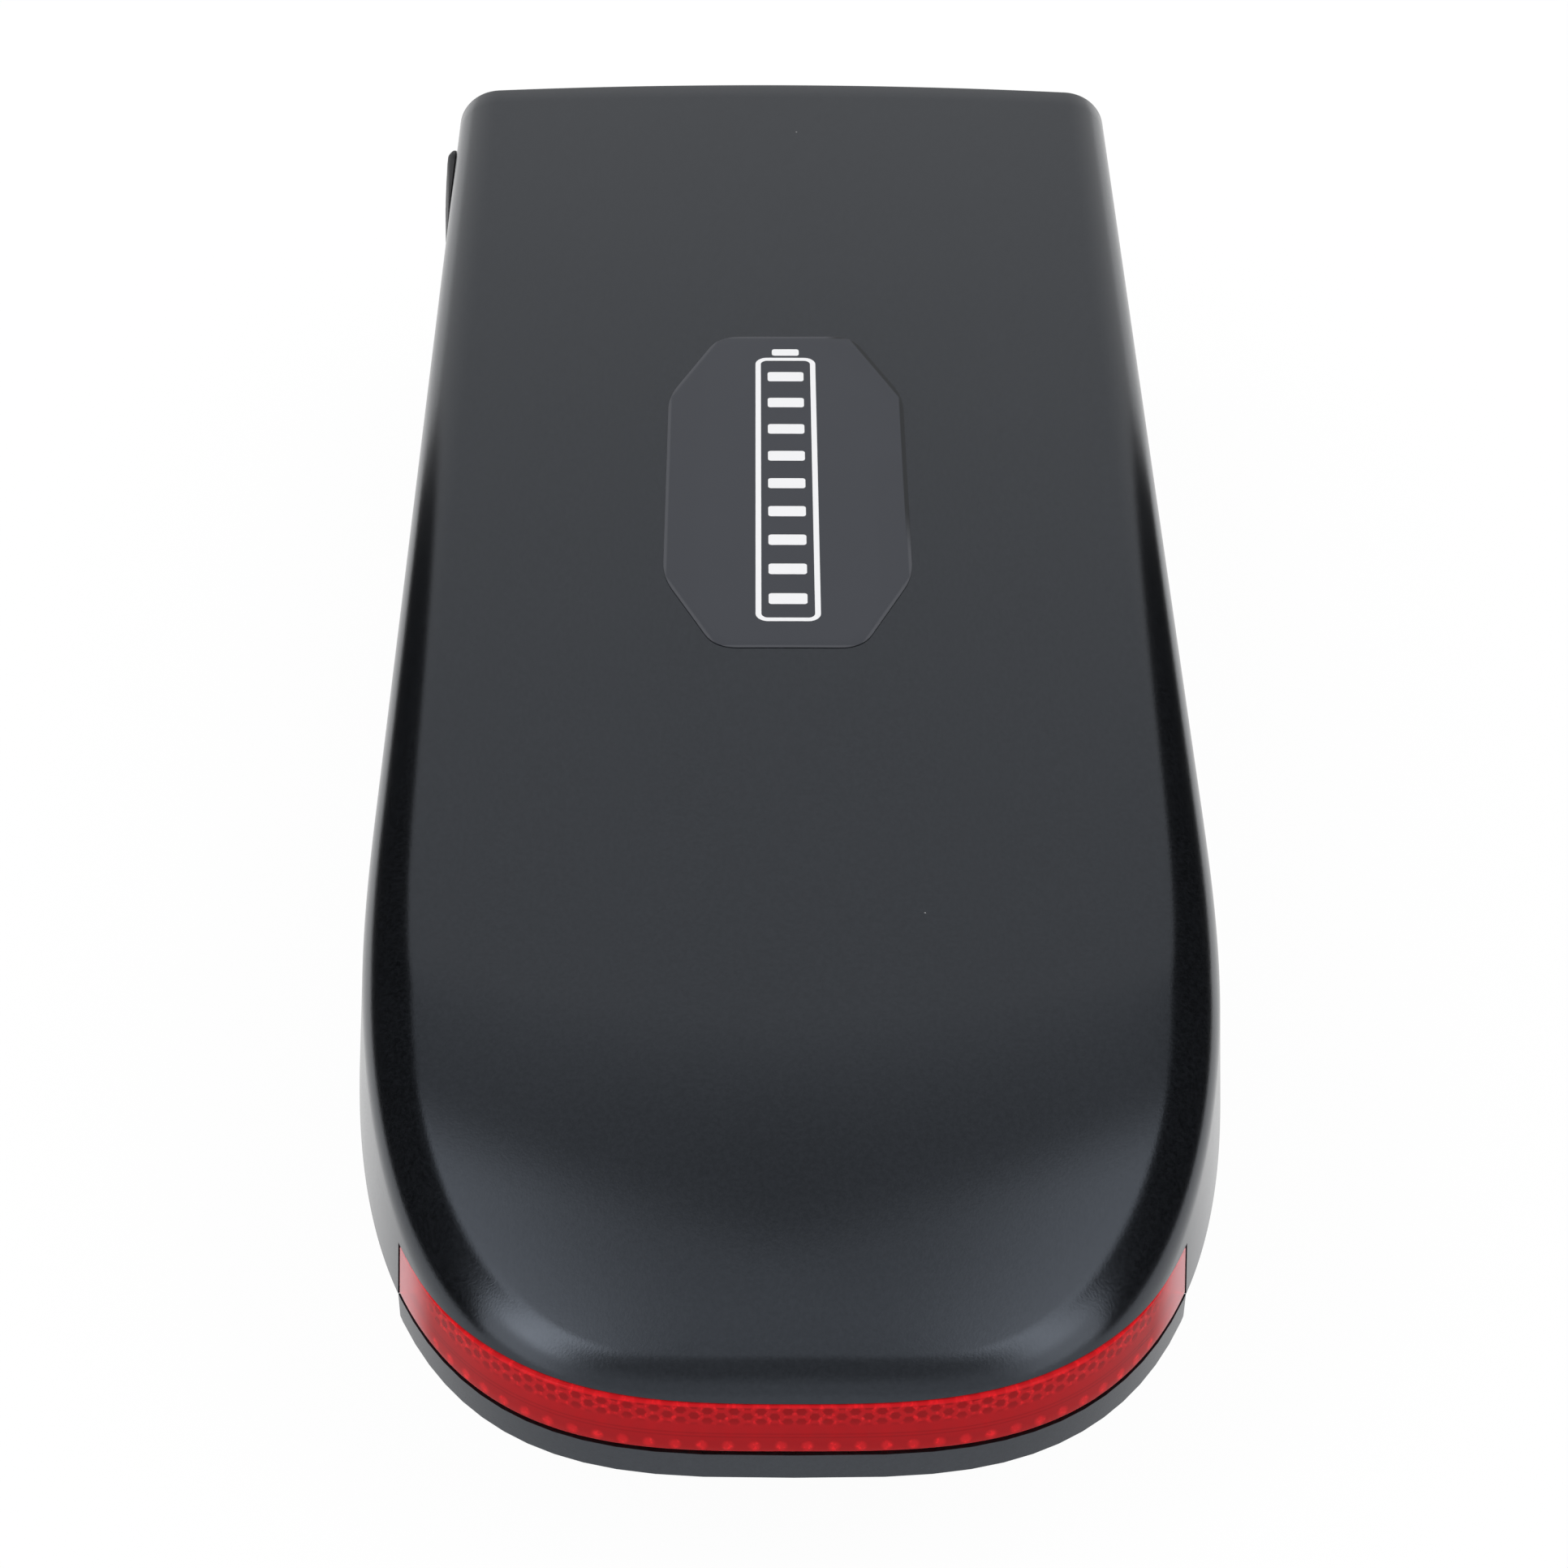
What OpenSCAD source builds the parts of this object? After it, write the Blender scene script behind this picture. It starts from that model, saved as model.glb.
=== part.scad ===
// Rear rack battery for an electric bicycle, with a tail lamp in its rounded end.
// +Z is up, the tail is at -Y and the front face, which meets the rack's connector, is at +Y.
// The base face lies on z = 0, centred on the origin.

/* [Case] */
// Overall length, from the front face to the tail
length = 378; // [372:1:400]
// Width at the line where the cover ends
width = 154.4; // [148:0.2:170]
// Height of the middle of the top above the base
height = 78; // [77:0.5:90]
// Height of the cover, from its lower edge to the middle of the top
cover_h = 34; // [30:0.5:36]
// Wall of the cover and of the lower case
wall = 2.5; // [2.2:0.1:3]
// Lean of the cover's side walls, in degrees
side_lean = 5; // [2:0.5:7]
// Radius of the cover's rounded edge
edge_r = 10; // [7:0.5:12]
// Rise of the top's crown, from its edges to its middle
crown = 1.7; // [0.5:0.1:2.5]

/* [Tail] */
// Length over which the plan is rounded towards the tail
tail_len = 133.5; // [110:0.5:150]
// Power of the tail's curve across the width
tail_power_x = 3.26; // [2.6:0.02:3.8]
// Power of the tail's curve along the length
tail_power_y = 2.94; // [2.4:0.02:3.4]
// Length over which the top slopes down to the tail
slope_run = 65.3; // [55:0.1:75]
// Drop of the top at the end of that slope
slope_drop = 18.7; // [10:0.1:20]
// How much sooner the slope starts at the sides than in the middle
slope_bow = 23; // [0:1:30]

/* [Tail lamp] */
// Height of the lens
lens_h = 12; // [9:0.5:13]
// How far forward of the tail the lens reaches
lens_reach = 34.3; // [28:0.1:40]
// Thickness of the lens
lens_t = 2.6; // [2:0.1:3]
// Open gap at the lens's ends and under it
lens_gap = 0.8; // [0.4:0.1:1]
// Thickness of the prismatic insert behind the lens
insert_t = 1.6; // [1.2:0.1:2]
// Width of the board that carries the lamp's diodes
lamp_board_h = 8; // [7:0.5:9]
// Diodes of the lamp on each side of the middle
lamp_side_count = 5; // [3:1:6]

/* [Lower case] */
// Height of the rim under the lens
rim_h = 5.5; // [5:0.5:7]
// Length of the overhang at the tail that fingers go under
grip_len = 44; // [40:0.5:46]
// How far the cover stands out past the side of the lower case
overhang = 15; // [14:0.1:16]
// Room beside the cells for the screw posts and the leads
side_room = 10.3; // [10:0.1:12]
// Corner radius of the lower case
low_r = 20; // [16:0.5:24]
// Thickness of the tongue that stands inside the cover
tongue_t = 2.2; // [1.8:0.1:2.6]
// Height of the tongue above the line where the cover ends
tongue_h = 1.5; // [1:0.5:2]

/* [Cells] */
// Gap between neighbouring cells
cell_gap = 0.8; // [0.6:0.1:1.2]
// Height that the walls, pads and holders over and under the cells take together
stack_room = 13; // [12.5:0.1:14]
// How deep a cell sits in each holder
holder_depth = 9; // [6:0.5:14]
// Room between the tail and the cell holders
tail_room = 84; // [78:0.5:86]
// Room between the cell holders and the front face
front_room = 99.2; // [96:0.1:104]

/* [Electronics] */
// Room between the battery management board and the side wall
bms_side_room = 15.7; // [14:0.1:20]
// Length of the battery management board
bms_l = 60; // [50:1:62]
// Height of that board above the cover's lower edge
bms_rise = 1; // [-2:0.5:3]

/* [Charge port] */
// Distance from the front face to the middle of the charge port
port_from_front = 19; // [18:0.5:24]
// Height of the middle of the charge port above the cover's lower edge
port_rise = 13.5; // [13:0.5:14]
// Bore that takes the charger's plug
port_bore_d = 9; // [8:0.5:9.5]
// Depth of that bore
port_depth = 10; // [8:0.5:12]
// Length of the rubber cap along the side
cap_l = 26; // [22:0.5:28]
// Height of the rubber cap
cap_h = 17; // [16:0.5:18]
// Thickness of the rubber cap at its end towards the front
cap_t = 2.4; // [2:0.1:3.5]
// Thickness of the rubber cap at its end towards the tail
cap_tail_t = 0.5; // [0.5:0.1:2]

/* [Lock] */
// Distance from the front face to the lock
lock_from_front = 64; // [61:0.5:68]
// Diameter of the lock's barrel
lock_d = 18; // [16:0.5:19]
// Diameter of the part that the key turns
rotor_d = 12; // [10:0.5:13]
// Travel of the bolt when the key turns a quarter turn
bolt_travel = 8; // [6:0.5:8.5]

/* [Charge gauge] */
// Distance from the front face to the power button
button_from_front = 22; // [18:0.5:26]
// Height of the power button and of the gauge above the cover's lower edge
gauge_rise = 14; // [12:0.5:15]
// Diameter of the power button
button_d = 10; // [8:0.5:11]
// Travel of the power button
button_travel = 0.8; // [0.5:0.1:1]
// Diameter of a gauge light
light_d = 3; // [2:0.1:3.4]
// Distance between gauge lights
light_pitch = 6; // [5:0.1:6.5]

/* [Discharge connector] */
// Width of the discharge connector's mouth
plug_w = 44; // [36:0.5:50]
// Height of the discharge connector's mouth
plug_h = 12; // [10:0.5:14]
// Depth of the discharge connector's mouth
plug_depth = 14; // [10:0.5:16]

/* [Rails and screws] */
// How far each slide rail stands out from the lower case
rail_w = 6; // [5:0.5:8]
// Height of each slide rail
rail_h = 8; // [7:0.5:9]
// Height of the rails' underside above the base
rail_z = 9; // [8:0.5:10]
// Distance from the lock's axis to the front end of each slide rail
rail_from_lock = 22; // [18:0.5:60]
// Diameter of a case screw's shank
screw_d = 3.4; // [3:0.1:3.8]
// Length of a case screw under its head
screw_l = 20; // [16:0.5:24]

/* [Label] */
// Length of the eight-sided label
label_l = 106; // [90:1:115]
// Width of the eight-sided label
label_w = 48; // [40:0.5:54]
// Distance from the front face to the middle of the label
label_from_front = 160; // [150:1:170]

/* [Hidden] */
$fn = 48;
cell_rows = 10;
cells_across = 5;

// Amounts that cuts run past the faces they open
overrun = 1;
// Clearance between fixed pieces that are slipped together
fit_gap = 0.2;
// Clearance between a piece that slides and what guides it
slide_gap = 0.25;
// Radial clearance of a round piece that turns in a bore
turn_gap = 0.05;
// Clearance between the cover's inside and the tongue in it
tuck_gap = 0.5;

half_l = length / 2;
half_w = width / 2;
parting_z = height - cover_h;
low_half_w = half_w - overhang;
tail_y = -half_l;
tail_start_y = tail_y + tail_len;
crease_half = half_w - edge_r;
slope_y = tail_y + slope_run;
tuck = wall + tuck_gap;
rim_z = parting_z - rim_h;
lens_end_y = tail_y + lens_reach;
lens_top_z = parting_z + lens_h;
tongue_top_z = parting_z + tongue_h;

// Steps round the tail, round the rounded edge and in to the middle of the top
side_steps = 3;
tail_steps = 24;
arc_steps = 7;
top_steps = 6;
// How far towards the tail the ridge that the top's rows meet on reaches
ridge_reach_share = 0.45;

// A station is a point of the plan at the cover's lower edge, with the inward direction there.
function station_at(across) =
    let (
        along = pow(1 - pow(across, tail_power_x), 1 / tail_power_y),
        gx = tail_power_x / half_w * pow(across, tail_power_x - 1),
        gy = tail_power_y / tail_len * pow(along, tail_power_y - 1),
        g = norm([gx, gy])
    )
    [half_w * across, tail_start_y - tail_len * along, -gx / g, gy / g];

function stations(front) = concat(
    [for (k = [0:side_steps]) [half_w, front + (tail_start_y - front) * k / side_steps, -1, 0]],
    [for (k = [1:tail_steps]) station_at(pow(cos(90 * k / tail_steps), 2 / tail_power_x))]);

function at_inset(s, d) = [s.x + s[2] * d, s.y + s[3] * d];

// The side wall leans in as it rises, fully along the sides and not at all at the tail.
function lean(s) = -tan(side_lean) * s.x / half_w * s[2];

function top_z(p) =
    height - crown * pow(p.x / crease_half, 2)
    - slope_drop * pow(max(0, (slope_y - p.y + slope_bow * pow(p.x / half_w, 2)) / slope_run), 2);

// Centre of the rounded edge that touches both the leaning wall and the sloping top, found by
// moving the point of touch a few times: inset, height, and the top's slope there.
function edge_centre(s, off, r, d, turns) =
    let (
        e = edge_r / 100,
        slope = atan((top_z(at_inset(s, d + e)) - top_z(at_inset(s, d - e))) / (2 * e)),
        z = top_z(at_inset(s, d)) - off - r * cos(slope),
        inset = off + (z - parting_z) * lean(s) + r * sqrt(1 + pow(lean(s), 2))
    )
    turns == 0 ? [inset, z, slope] : edge_centre(s, off, r, inset - r * sin(slope), turns - 1);

function edge_rows(s, off, base) =
    let (
        r = edge_r - off,
        c = edge_centre(s, off, r, off + r, 8),
        low = atan(lean(s)),
        high = 90 - c[2]
    )
    concat(
        [[off + (base - parting_z) * lean(s), base]],
        [for (k = [0:arc_steps])
            let (b = low + (high - low) * k / arc_steps)
            [c[0] - r * cos(b), c[1] + r * sin(b)]]);

function ridge_point(s) =
    [0, s.y > tail_start_y ? s.y : tail_start_y + (s.y - tail_start_y) * ridge_reach_share];

function column(s, off, base) =
    let (
        rows = edge_rows(s, off, base),
        edge = at_inset(s, rows[len(rows) - 1][0]),
        ridge = ridge_point(s)
    )
    concat(
        [for (r = rows) let (p = at_inset(s, r[0])) [p.x, p.y, r[1]]],
        [for (k = [1:top_steps - 1])
            let (p = edge + (ridge - edge) * k / top_steps) [p.x, p.y, top_z(p) - off]]);

// Solid bounded by the cover's skin moved in by off, from the height base up.
module cover_block(off, base, front) {
    right = stations(front);
    n = len(right);
    m = 2 * n - 1;
    sides = [for (j = [0:m - 1])
        let (c = column(right[j < n ? j : m - 1 - j], off, base))
        j < n ? c : [for (p = c) [-p.x, p.y, p.z]]];
    rows = len(sides[0]);
    ridge = [for (s = right) let (p = ridge_point(s)) [p.x, p.y, top_z(p) - off]];
    points = concat([for (c = sides) each c], ridge);
    spine = [for (j = [0:m - 1]) m * rows + (j < n ? j : m - 1 - j)];
    quads = concat(
        [for (j = [0:m - 2], k = [0:rows - 2])
            [j * rows + k, (j + 1) * rows + k, (j + 1) * rows + k + 1, j * rows + k + 1]],
        [for (j = [0:m - 2])
            [j * rows + rows - 1, (j + 1) * rows + rows - 1, spine[j + 1], spine[j]]]);
    left = (m - 1) * rows;
    front_face = concat(
        [for (k = [0:rows - 2]) each [[k, k + 1, left + k + 1], [k, left + k + 1, left + k]]],
        [[rows - 1, spine[0], left + rows - 1]]);
    base_face = concat(
        [for (j = [0:n - 3]) [left - j * rows, left - (j + 1) * rows, (j + 1) * rows]],
        [for (j = [0:n - 2]) [left - j * rows, (j + 1) * rows, j * rows]]);
    polyhedron(
        points,
        concat([for (q = quads) each [[q[0], q[1], q[2]], [q[0], q[2], q[3]]]], front_face, base_face));
}

// Flat plan of the case moved in by off all round
module plan(off) {
    right = [for (s = stations(half_l)) at_inset(s, off)];
    n = len(right);
    inner = [for (p = right) [p.x, min(p.y, half_l - off)]];
    polygon(concat(inner, [for (k = [n - 2:-1:0]) [-inner[k].x, inner[k].y]]));
}

// Rectangle with round corners, from a low corner to a high corner
module round_box_plan(low, high, r) {
    size = high - low;
    translate([low.x + r, low.y]) square([size.x - 2 * r, size.y]);
    translate([low.x, low.y + r]) square([size.x, size.y - 2 * r]);
    for (x = [low.x + r, high.x - r], y = [low.y + r, high.y - r]) translate([x, y]) circle(r = r);
}

// The part of the plan that is sealed, which leaves the lamp outside. Its tail edge is set so
// that the tongue stands on the tray's tail wall.
tray_tail_y = tail_y + grip_len;
bulkhead_t = wall * 0.8;
bulkhead_y = tray_tail_y + wall - tuck - tongue_t;
gasket_t = 1.2;
gasket_top_z = tongue_top_z + gasket_t;
ledge_t = 2;
module sealed_plan(off) {
    intersection() {
        plan(off);
        translate([-half_w, bulkhead_y + off]) square([width, length]);
    }
}

// Frame on a side wall of the cover: local z points out of the wall. Side is 1 or -1.
module on_side(side, y, z) {
    translate([side * (half_w - (z - parting_z) * tan(side_lean)), y, z])
        rotate([0, side * (90 - side_lean), 0])
            children();
}

function unit(v) = v / norm(v);

// A route with each corner rounded, over a length that the shorter stretch beside it allows
bend_steps = 3;
function rounded(route, reach) = [
    route[0],
    for (k = [1:1:len(route) - 2])
        let (
            back = route[k - 1] - route[k],
            ahead = route[k + 1] - route[k],
            cut = min(reach, 0.45 * norm(back), 0.45 * norm(ahead)),
            a = route[k] + unit(back) * cut,
            b = route[k] + unit(ahead) * cut
        )
        for (j = [0:bend_steps])
            let (t = j / bend_steps)
            (1 - t) * (1 - t) * a + 2 * t * (1 - t) * route[k] + t * t * b,
    route[len(route) - 1]];

function directions(path) = [
    for (k = [0:len(path) - 1])
        unit(
            (k == 0 ? [0, 0, 0] : unit(path[k] - path[k - 1]))
            + (k == len(path) - 1 ? [0, 0, 0] : unit(path[k + 1] - path[k])))];

// A side direction carried along the path without twist
function carried(along, side, k = 0) =
    k == len(along) ? [] :
    let (v = unit(side - along[k] * (side * along[k])))
    concat([v], carried(along, v, k + 1));

// Wire along a list of points
wire_sides = 8;
module wire(route, d) {
    path = rounded(route, 2 * d);
    along = directions(path);
    across = carried(along, abs(along[0].x) < 0.5 ? [1, 0, 0] : [0, 0, 1]);
    n = wire_sides;
    last = len(path) - 1;
    points = [
        for (k = [0:last], j = [0:n - 1])
            let (a = 360 * j / n)
            path[k] + d / 2 * (cos(a) * across[k] + sin(a) * cross(along[k], across[k]))];
    sides = [
        for (k = [0:last - 1], j = [0:n - 1])
            let (a = k * n + j, b = k * n + (j + 1) % n)
            each [[a, a + n, b + n], [a, b + n, b]]];
    polyhedron(
        points,
        concat(sides, [[for (j = [0:n - 1]) j], [for (j = [n - 1:-1:0]) last * n + j]]));
}

// Cell pack
holder_lip = 1.2;
holder_rim = 1.4;
strip_t = 0.2;
sheet_t = 0.5;
lower_pad_t = 1.5;
// The cells' pitch fills the room across or along the case, whichever gives less.
cell_pitch = min(
    (2 * (low_half_w - wall - side_room) - 2 * holder_rim) / cells_across,
    (length - tail_room - front_room - 2 * holder_rim) / cell_rows);
cell_d = cell_pitch - cell_gap;
cell_l = height - stack_room;
pack_w = cells_across * cell_pitch + 2 * holder_rim;
pack_l = cell_rows * cell_pitch + 2 * holder_rim;
pack_y = tail_y + tail_room;
pack_front_y = pack_y + pack_l;
lower_sheet_z = wall + lower_pad_t;
lower_strip_z = lower_sheet_z + sheet_t;
holder_z = lower_strip_z + strip_t;
cell_z = holder_z + holder_lip;
cell_top_z = cell_z + cell_l;
upper_strip_z = cell_top_z + holder_lip;
upper_sheet_z = upper_strip_z + strip_t;
pad_z = upper_sheet_z + sheet_t;
pad_margin = cell_d / 4;
// The upper pad fills what room the crowned top leaves above its edges.
upper_pad_t = height - crown * pow((pack_w / 2 - pad_margin) / crease_half, 2) - wall - fit_gap - pad_z;

// Lower case
post_d = 8;
pilot_d = screw_d + 2 * turn_gap;
head_d = screw_d * 1.9;
head_h = screw_d * 0.7;
// How far a post runs into the side wall that it is moulded to
post_bite = 1;
post_x = low_half_w - wall - post_d / 2 + post_bite;
post_ys = [
    tray_tail_y + wall + low_r, pack_y + pack_l * 0.36, pack_front_y + post_d / 2,
    half_l - tuck - tongue_t - fit_gap - post_d / 2];
post_spots = [for (x = [-post_x, post_x], y = post_ys) [x, y]];
// How far under the cover's lower edge a screw's head bears in a post
seat_drop = 6;
seat_z = parting_z - seat_drop;
lamp_seat_z = rim_z + head_h;
lamp_screw_share = 0.52;
lamp_screw_spots = [for (x = [-1, 1]) [x * half_w * lamp_screw_share, tail_y + lens_reach * 0.78]];

// Charge port
port_y = half_l - port_from_front;
port_z = parting_z + port_rise;
socket_wall = 2.5;
socket_floor_t = 5;
socket_d = port_bore_d + 2 * socket_wall;
socket_l = port_depth + socket_floor_t;
socket_flange_t = 1;
socket_flange_out = 1;
nut_t = 4;
nut_out = 1.5;

// Lock
lock_y = half_l - lock_from_front;
// The lock sits midway up the side wall.
lock_z = (wall + rim_z) / 2;
lock_flange_t = 2;
barrel_l = 17;
cam_t = 2.5;
cam_gap = 0.5;
pin_d = 4;
pin_turn_r = bolt_travel / (2 * sin(45));
bolt_t = 5;
bolt_w = 2 * pin_turn_r + 2 * pin_d;
rotor_in_x = low_half_w + lock_flange_t - barrel_l - lock_flange_t - cam_gap;
cam_x = rotor_in_x - cam_t;
bolt_x = cam_x - cam_gap - bolt_t;
guide_t = 2;
// The bolt's end stays this far inside the base when it is drawn in.
bolt_in = 0.5;

// Charge gauge
button_y = half_l - button_from_front;
gauge_z = parting_z + gauge_rise;
first_light_y = button_y - button_d;
light_count = 4;
gauge_board_t = 1.2;
button_proud = 0.3;

// Discharge connector
plug_wall = 3;
plug_flange_out = 2;
// The connector sits midway up the front wall.
plug_z = (wall + rim_z) / 2;
contact_t = 1;
rack_contacts = 6;

// Battery management board
board_t = 1.6;
bms_gap = 4;
bms_y = pack_front_y + bms_gap;
bms_w = 2 * (low_half_w - wall - bms_side_room);
bms_z = parting_z + bms_rise;
bms_post_d = 7;
bms_inset = 5;
bms_spots = [for (x = [-1, 1], y = [bms_inset, bms_l - bms_inset])
    [x * (bms_w / 2 - bms_inset), bms_y + y]];
bms_top_z = bms_z + board_t;

// Rails
rail_y = tray_tail_y + low_r;
rail_l = lock_y - rail_from_lock - rail_y;
rail_screw_d = 3;
rail_screw_l = rail_w * 0.5 + wall;
rail_screw_count = 4;
rail_screw_ys = [for (k = [0:rail_screw_count - 1])
    rail_y + rail_l * (0.08 + 0.84 * k / (rail_screw_count - 1))];
rail_chamfer = 1.2;

module top_cover() color([0.12, 0.12, 0.13]) {
    difference() {
        cover_block(0, parting_z, half_l);
        difference() {
            cover_block(wall, parting_z - overrun, half_l - wall);
            translate([0, 0, gasket_top_z]) linear_extrude(ledge_t) difference() {
                sealed_plan(0);
                sealed_plan(tuck + tongue_t);
            }
            translate([-half_w, bulkhead_y + tuck, gasket_top_z]) cube([width, bulkhead_t, height]);
            for (p = concat(post_spots, lamp_screw_spots))
                translate([p.x, p.y, 0]) cylinder(d = post_d, h = height);
        }
        lens_cut();
        for (p = post_spots) screw_hole(p, parting_z, seat_z);
        for (p = lamp_screw_spots) screw_hole(p, parting_z, lamp_seat_z);
        on_side(-1, port_y, port_z)
            translate([0, 0, -2 * wall]) cylinder(d = socket_d + 2 * fit_gap, h = 4 * wall);
        on_side(1, button_y, gauge_z)
            translate([0, 0, -2 * wall]) cylinder(d = button_d + 2 * slide_gap, h = 4 * wall);
        on_side(1, first_light_y, gauge_z) for (k = [0:light_count - 1])
            translate([0, -k * light_pitch, -2 * wall])
                cylinder(d = light_d + 2 * fit_gap, h = 4 * wall);
    }
}

// Room for the lens in the cover's lower edge round the tail
module lens_cut() {
    translate([0, 0, parting_z - overrun]) linear_extrude(lens_h + overrun) intersection() {
        difference() {
            plan(-overrun);
            plan(wall + lens_t / 2);
        }
        translate([-width, tail_y - overrun]) square([2 * width, lens_reach + overrun]);
    }
}

// Hole that a case screw's shank runs in, above a height, for a screw whose head bears at seat
module screw_hole(p, from_z, seat) {
    translate([p.x, p.y, from_z - overrun])
        cylinder(d = pilot_d, h = seat + screw_l - from_z + 2 * overrun);
}

module tray_plan(off) {
    round_box_plan(
        [-low_half_w + off, tray_tail_y + off], [low_half_w - off, half_l - off], low_r - off);
}

module bottom_case() color([0.1, 0.1, 0.11]) {
    flange_z = rim_z + wall;
    difference() {
        union() {
            difference() {
                union() {
                    linear_extrude(rim_z) tray_plan(0);
                    translate([0, 0, rim_z]) linear_extrude(wall) plan(tuck);
                    translate([0, 0, rim_z]) linear_extrude(wall) tail_part() plan(0);
                }
                translate([0, 0, wall]) linear_extrude(height) tray_plan(wall);
            }
            translate([0, 0, flange_z]) linear_extrude(rim_h - wall) tail_part() difference() {
                plan(0);
                plan(wall);
            }
            translate([0, 0, flange_z]) linear_extrude(tongue_top_z - flange_z) difference() {
                sealed_plan(tuck);
                sealed_plan(tuck + tongue_t);
            }
            translate([0, 0, flange_z]) linear_extrude(tongue_top_z - flange_z) side_closers();
            translate([-half_w + tuck, half_l - wall, rim_z])
                cube([width - 2 * tuck, wall, rim_h - fit_gap]);
            for (p = post_spots)
                translate([p.x, p.y, 0]) cylinder(d = post_d, h = parting_z - fit_gap);
            for (p = lamp_screw_spots)
                translate([p.x, p.y, rim_z]) cylinder(d = post_d, h = rim_h - fit_gap);
            for (p = bms_spots) translate([p.x, p.y, 0]) cylinder(d = bms_post_d, h = bms_z);
        }
        for (p = post_spots) {
            screw_hole(p, seat_z, seat_z);
            translate([p.x, p.y, -overrun]) cylinder(d = head_d + 2 * fit_gap, h = seat_z + overrun);
        }
        for (p = lamp_screw_spots) {
            screw_hole(p, lamp_seat_z, lamp_seat_z);
            translate([p.x, p.y, rim_z - overrun])
                cylinder(d = head_d + 2 * fit_gap, h = head_h + overrun);
        }
        for (p = bms_spots)
            translate([p.x, p.y, bms_z - board_screw_l])
                cylinder(d = board_screw_d + 2 * turn_gap, h = board_screw_l + overrun);
        translate([low_half_w - 2 * wall, lock_y, lock_z])
            rotate([0, 90, 0]) cylinder(d = lock_d + 2 * fit_gap, h = 4 * wall);
        translate([bolt_x - slide_gap, lock_y - bolt_w / 2 - slide_gap, -overrun])
            cube([bolt_t + 2 * slide_gap, bolt_w + 2 * slide_gap, wall + 2 * overrun]);
        translate([
            -plug_w / 2 - plug_wall - fit_gap, half_l - 2 * wall,
            plug_z - plug_h / 2 - plug_wall - fit_gap])
            cube([plug_w + 2 * (plug_wall + fit_gap), 3 * wall, plug_h + 2 * (plug_wall + fit_gap)]);
        for (side = [-1, 1], y = rail_screw_ys)
            translate([side * low_half_w, y, rail_z + rail_h / 2])
                rotate([0, 90, 0]) cylinder(d = rail_screw_d + 2 * turn_gap, h = 4 * wall, center = true);
        translate([lamp_lead_x, bulkhead_y, lamp_lead_z])
            rotate([-90, 0, 0]) cylinder(d = lamp_lead_d + 2 * fit_gap, h = 4 * wall);
    }
}

// Close the sides from the lens's ends to the sealed part
module side_closers() {
    intersection() {
        difference() {
            plan(tuck);
            plan(tuck + tongue_t);
        }
        translate([-half_w, lens_end_y - wall])
            square([width, bulkhead_y + tuck + tongue_t + wall - lens_end_y]);
    }
}

// Keeps what lies behind the lens's ends
module tail_part() {
    intersection() {
        children();
        translate([-half_w, tail_y]) square([width, lens_reach]);
    }
}

module case_gasket() color([0.05, 0.05, 0.05]) {
    translate([0, 0, tongue_top_z]) linear_extrude(gasket_t) difference() {
        sealed_plan(tuck);
        sealed_plan(tuck + tongue_t);
    }
}

// Band that follows the cover's skin round the tail, between two insets and two heights
module tail_band(outer, inner, low, high, end_gap) {
    intersection() {
        difference() {
            cover_block(outer, low, half_l);
            cover_block(inner, low - overrun, half_l + overrun);
        }
        translate([-half_w, tail_y - overrun, low])
            cube([width, lens_reach + overrun - end_gap, high - low]);
    }
}

module tail_lens() color([0.75, 0.05, 0.07, 0.85]) {
    foot_off = lens_t / 2;
    tail_band(0, lens_t, parting_z + lens_gap, lens_top_z - fit_gap, lens_gap);
    tail_band(foot_off, lens_t, parting_z, parting_z + lens_gap, lens_gap);
}

insert_off = lens_t + fit_gap;
module reflex_insert() color([0.8, 0.8, 0.82]) {
    tail_band(
        insert_off, insert_off + insert_t, rim_z + wall, lens_top_z - 2 * fit_gap,
        lens_reach * 0.1);
}

// The lamp's housing is a floor and a back wall that stand on the lower case's plate.
lamp_room = 5;
lamp_wall = 1.5;
lamp_board_t = 1;
lamp_board_off = insert_off + insert_t + lamp_room;
lamp_back_off = lamp_board_off + lamp_board_t;
lamp_floor_z = rim_z + wall;
lamp_board_z = lamp_floor_z + lamp_wall;
lamp_end_share = 0.8;
module lamp_ring(outer, inner) {
    intersection() {
        difference() {
            plan(outer);
            plan(inner);
        }
        translate([-half_w, tail_y]) square([width, lens_reach * lamp_end_share]);
    }
}

module lamp_housing() color([0.15, 0.15, 0.16]) {
    translate([0, 0, lamp_floor_z]) linear_extrude(lamp_wall)
        lamp_ring(insert_off + insert_t + fit_gap, lamp_back_off + lamp_wall);
    translate([0, 0, lamp_board_z]) linear_extrude(lamp_board_h)
        lamp_ring(lamp_back_off, lamp_back_off + lamp_wall);
}

module lamp_board() color([0.9, 0.9, 0.88]) {
    translate([0, 0, lamp_board_z]) linear_extrude(lamp_board_h) lamp_ring(lamp_board_off, lamp_back_off);
}

led_w = 3.5;
led_out = 1.6;
led_h = 2.8;
led_reach_share = 0.7;
module lamp_leds() color([0.95, 0.85, 0.5]) {
    for (k = [-lamp_side_count:lamp_side_count]) {
        s = station_at(led_reach_share * abs(k) / lamp_side_count);
        mirror([k < 0 ? 1 : 0, 0, 0])
            translate([
                s.x + s[2] * lamp_board_off, s.y + s[3] * lamp_board_off,
                lamp_board_z + lamp_board_h / 2])
                rotate([0, 0, atan2(-s[2], s[3])])
                    translate([-led_w / 2, -led_out, -led_h / 2]) cube([led_w, led_out, led_h]);
    }
}

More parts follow.
